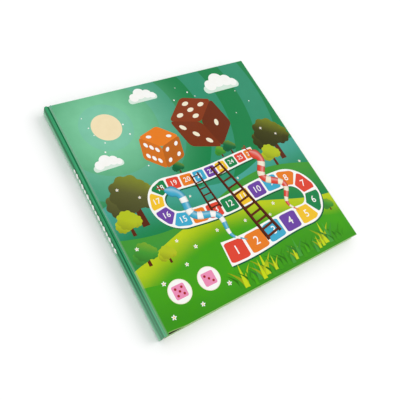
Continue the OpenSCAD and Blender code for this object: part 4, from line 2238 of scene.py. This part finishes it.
@dataclass(frozen=True)
class Studio:
    """White floor, even white light and a soft lamp behind the fore-edge.

    Attributes:
        sky: Level of the light from all round.
        sun: Strength of the lamp.
        sun_from: Direction that the lamp shines from.
        sun_spread: Angle that the lamp fills, in degrees.
        mirrored: Level of the sky as reflections show it, by the height of their direction.
        floor_half: Half the side of the floor, in metres.
        floor_gap: Distance of the floor below the part, in metres.
    """

    sky: float = 0.88
    sun: float = 0.85
    sun_from: Triple = (1.0, -0.2, 0.9)
    sun_spread: float = 40
    mirrored: Ease = Ease(0.35, 0.75, 1.0, 0.1)
    floor_half: float = 4.0
    floor_gap: float = 0.0001

    def floor(self) -> bpy.types.Object:
        """Makes the floor just below the part.

        Returns:
            The floor.
        """
        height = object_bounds()[0].z - self.floor_gap
        corners = [(x * self.floor_half, y * self.floor_half, height)
                   for x, y in ((-1, -1), (1, -1), (1, 1), (-1, 1))]
        mesh = bpy.data.meshes.new("floor")
        mesh.from_pydata(corners, [], [(0, 1, 2, 3)])
        mesh.materials.append(Floor("floor", Gloss.MATT).material())
        return bpy.data.objects.new("floor", mesh)

    def lamp(self) -> bpy.types.Object:
        """Makes the lamp, which reflections don't show.

        Returns:
            The lamp.
        """
        light = bpy.data.lights.new("sun", "SUN")
        light.energy = self.sun
        light.angle = math.radians(self.sun_spread)
        lamp = bpy.data.objects.new("sun", light)
        lamp.visible_glossy = False
        lamp.rotation_euler = Vector(self.sun_from).to_track_quat("Z", "Y").to_euler()
        return lamp

    def world(self) -> bpy.types.World:
        """Makes the light from all round.

        It is plain on the part, darker overhead in reflections and white to the camera.

        Returns:
            The world.
        """
        world = bpy.data.worlds.new("world")
        world.use_nodes = True
        graph = Graph(world.node_tree)
        rays = graph.add("ShaderNodeLightPath").outputs
        toward = graph.add("ShaderNodeTexCoord").outputs["Generated"]
        height = graph.add("ShaderNodeSeparateXYZ", {0: toward}).outputs["Z"]
        level: Socket | float = self.sky
        mirrored = graph.fade(height, self.mirrored, "LINEAR")
        for ray, shown in (("Is Glossy Ray", mirrored), ("Is Camera Ray", 1.0)):
            level = graph.add("ShaderNodeMix", {0: rays[ray], 2: level, 3: shown}).outputs[0]
        background = world.node_tree.nodes["Background"].inputs
        graph.put(background["Strength"], level)
        graph.put(background["Color"], np.ones(3))
        return world

    def build(self) -> None:
        """Sets up floor, lamp, world and the plain view of colours."""
        scene = bpy.context.scene
        stage = (self.floor(), self.lamp())
        for piece in stage:
            scene.collection.objects.link(piece)
        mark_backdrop(*stage)
        scene.world = self.world()
        scene.view_settings.view_transform = "Standard"


def main() -> None:
    """Builds the case's pieces in order, then the studio and the camera."""
    logging.basicConfig(level=logging.INFO, format="%(name)s: %(message)s")
    covers = Covers(InkPrint("cover_ink", Gloss.FILM))
    covers.dress()
    covers.print_front()
    covers.print_spine()
    matt = InkPrint("inside_ink", Gloss.PAPER, film=0.1)
    field = PlayingField(matt)
    field.dress()
    field.build()
    tray = Tray(matt)
    tray.dress()
    tray.print_dial()
    tray.print_face()
    Studio().build()
    Camera().build()


if __name__ == "__main__":
    main()
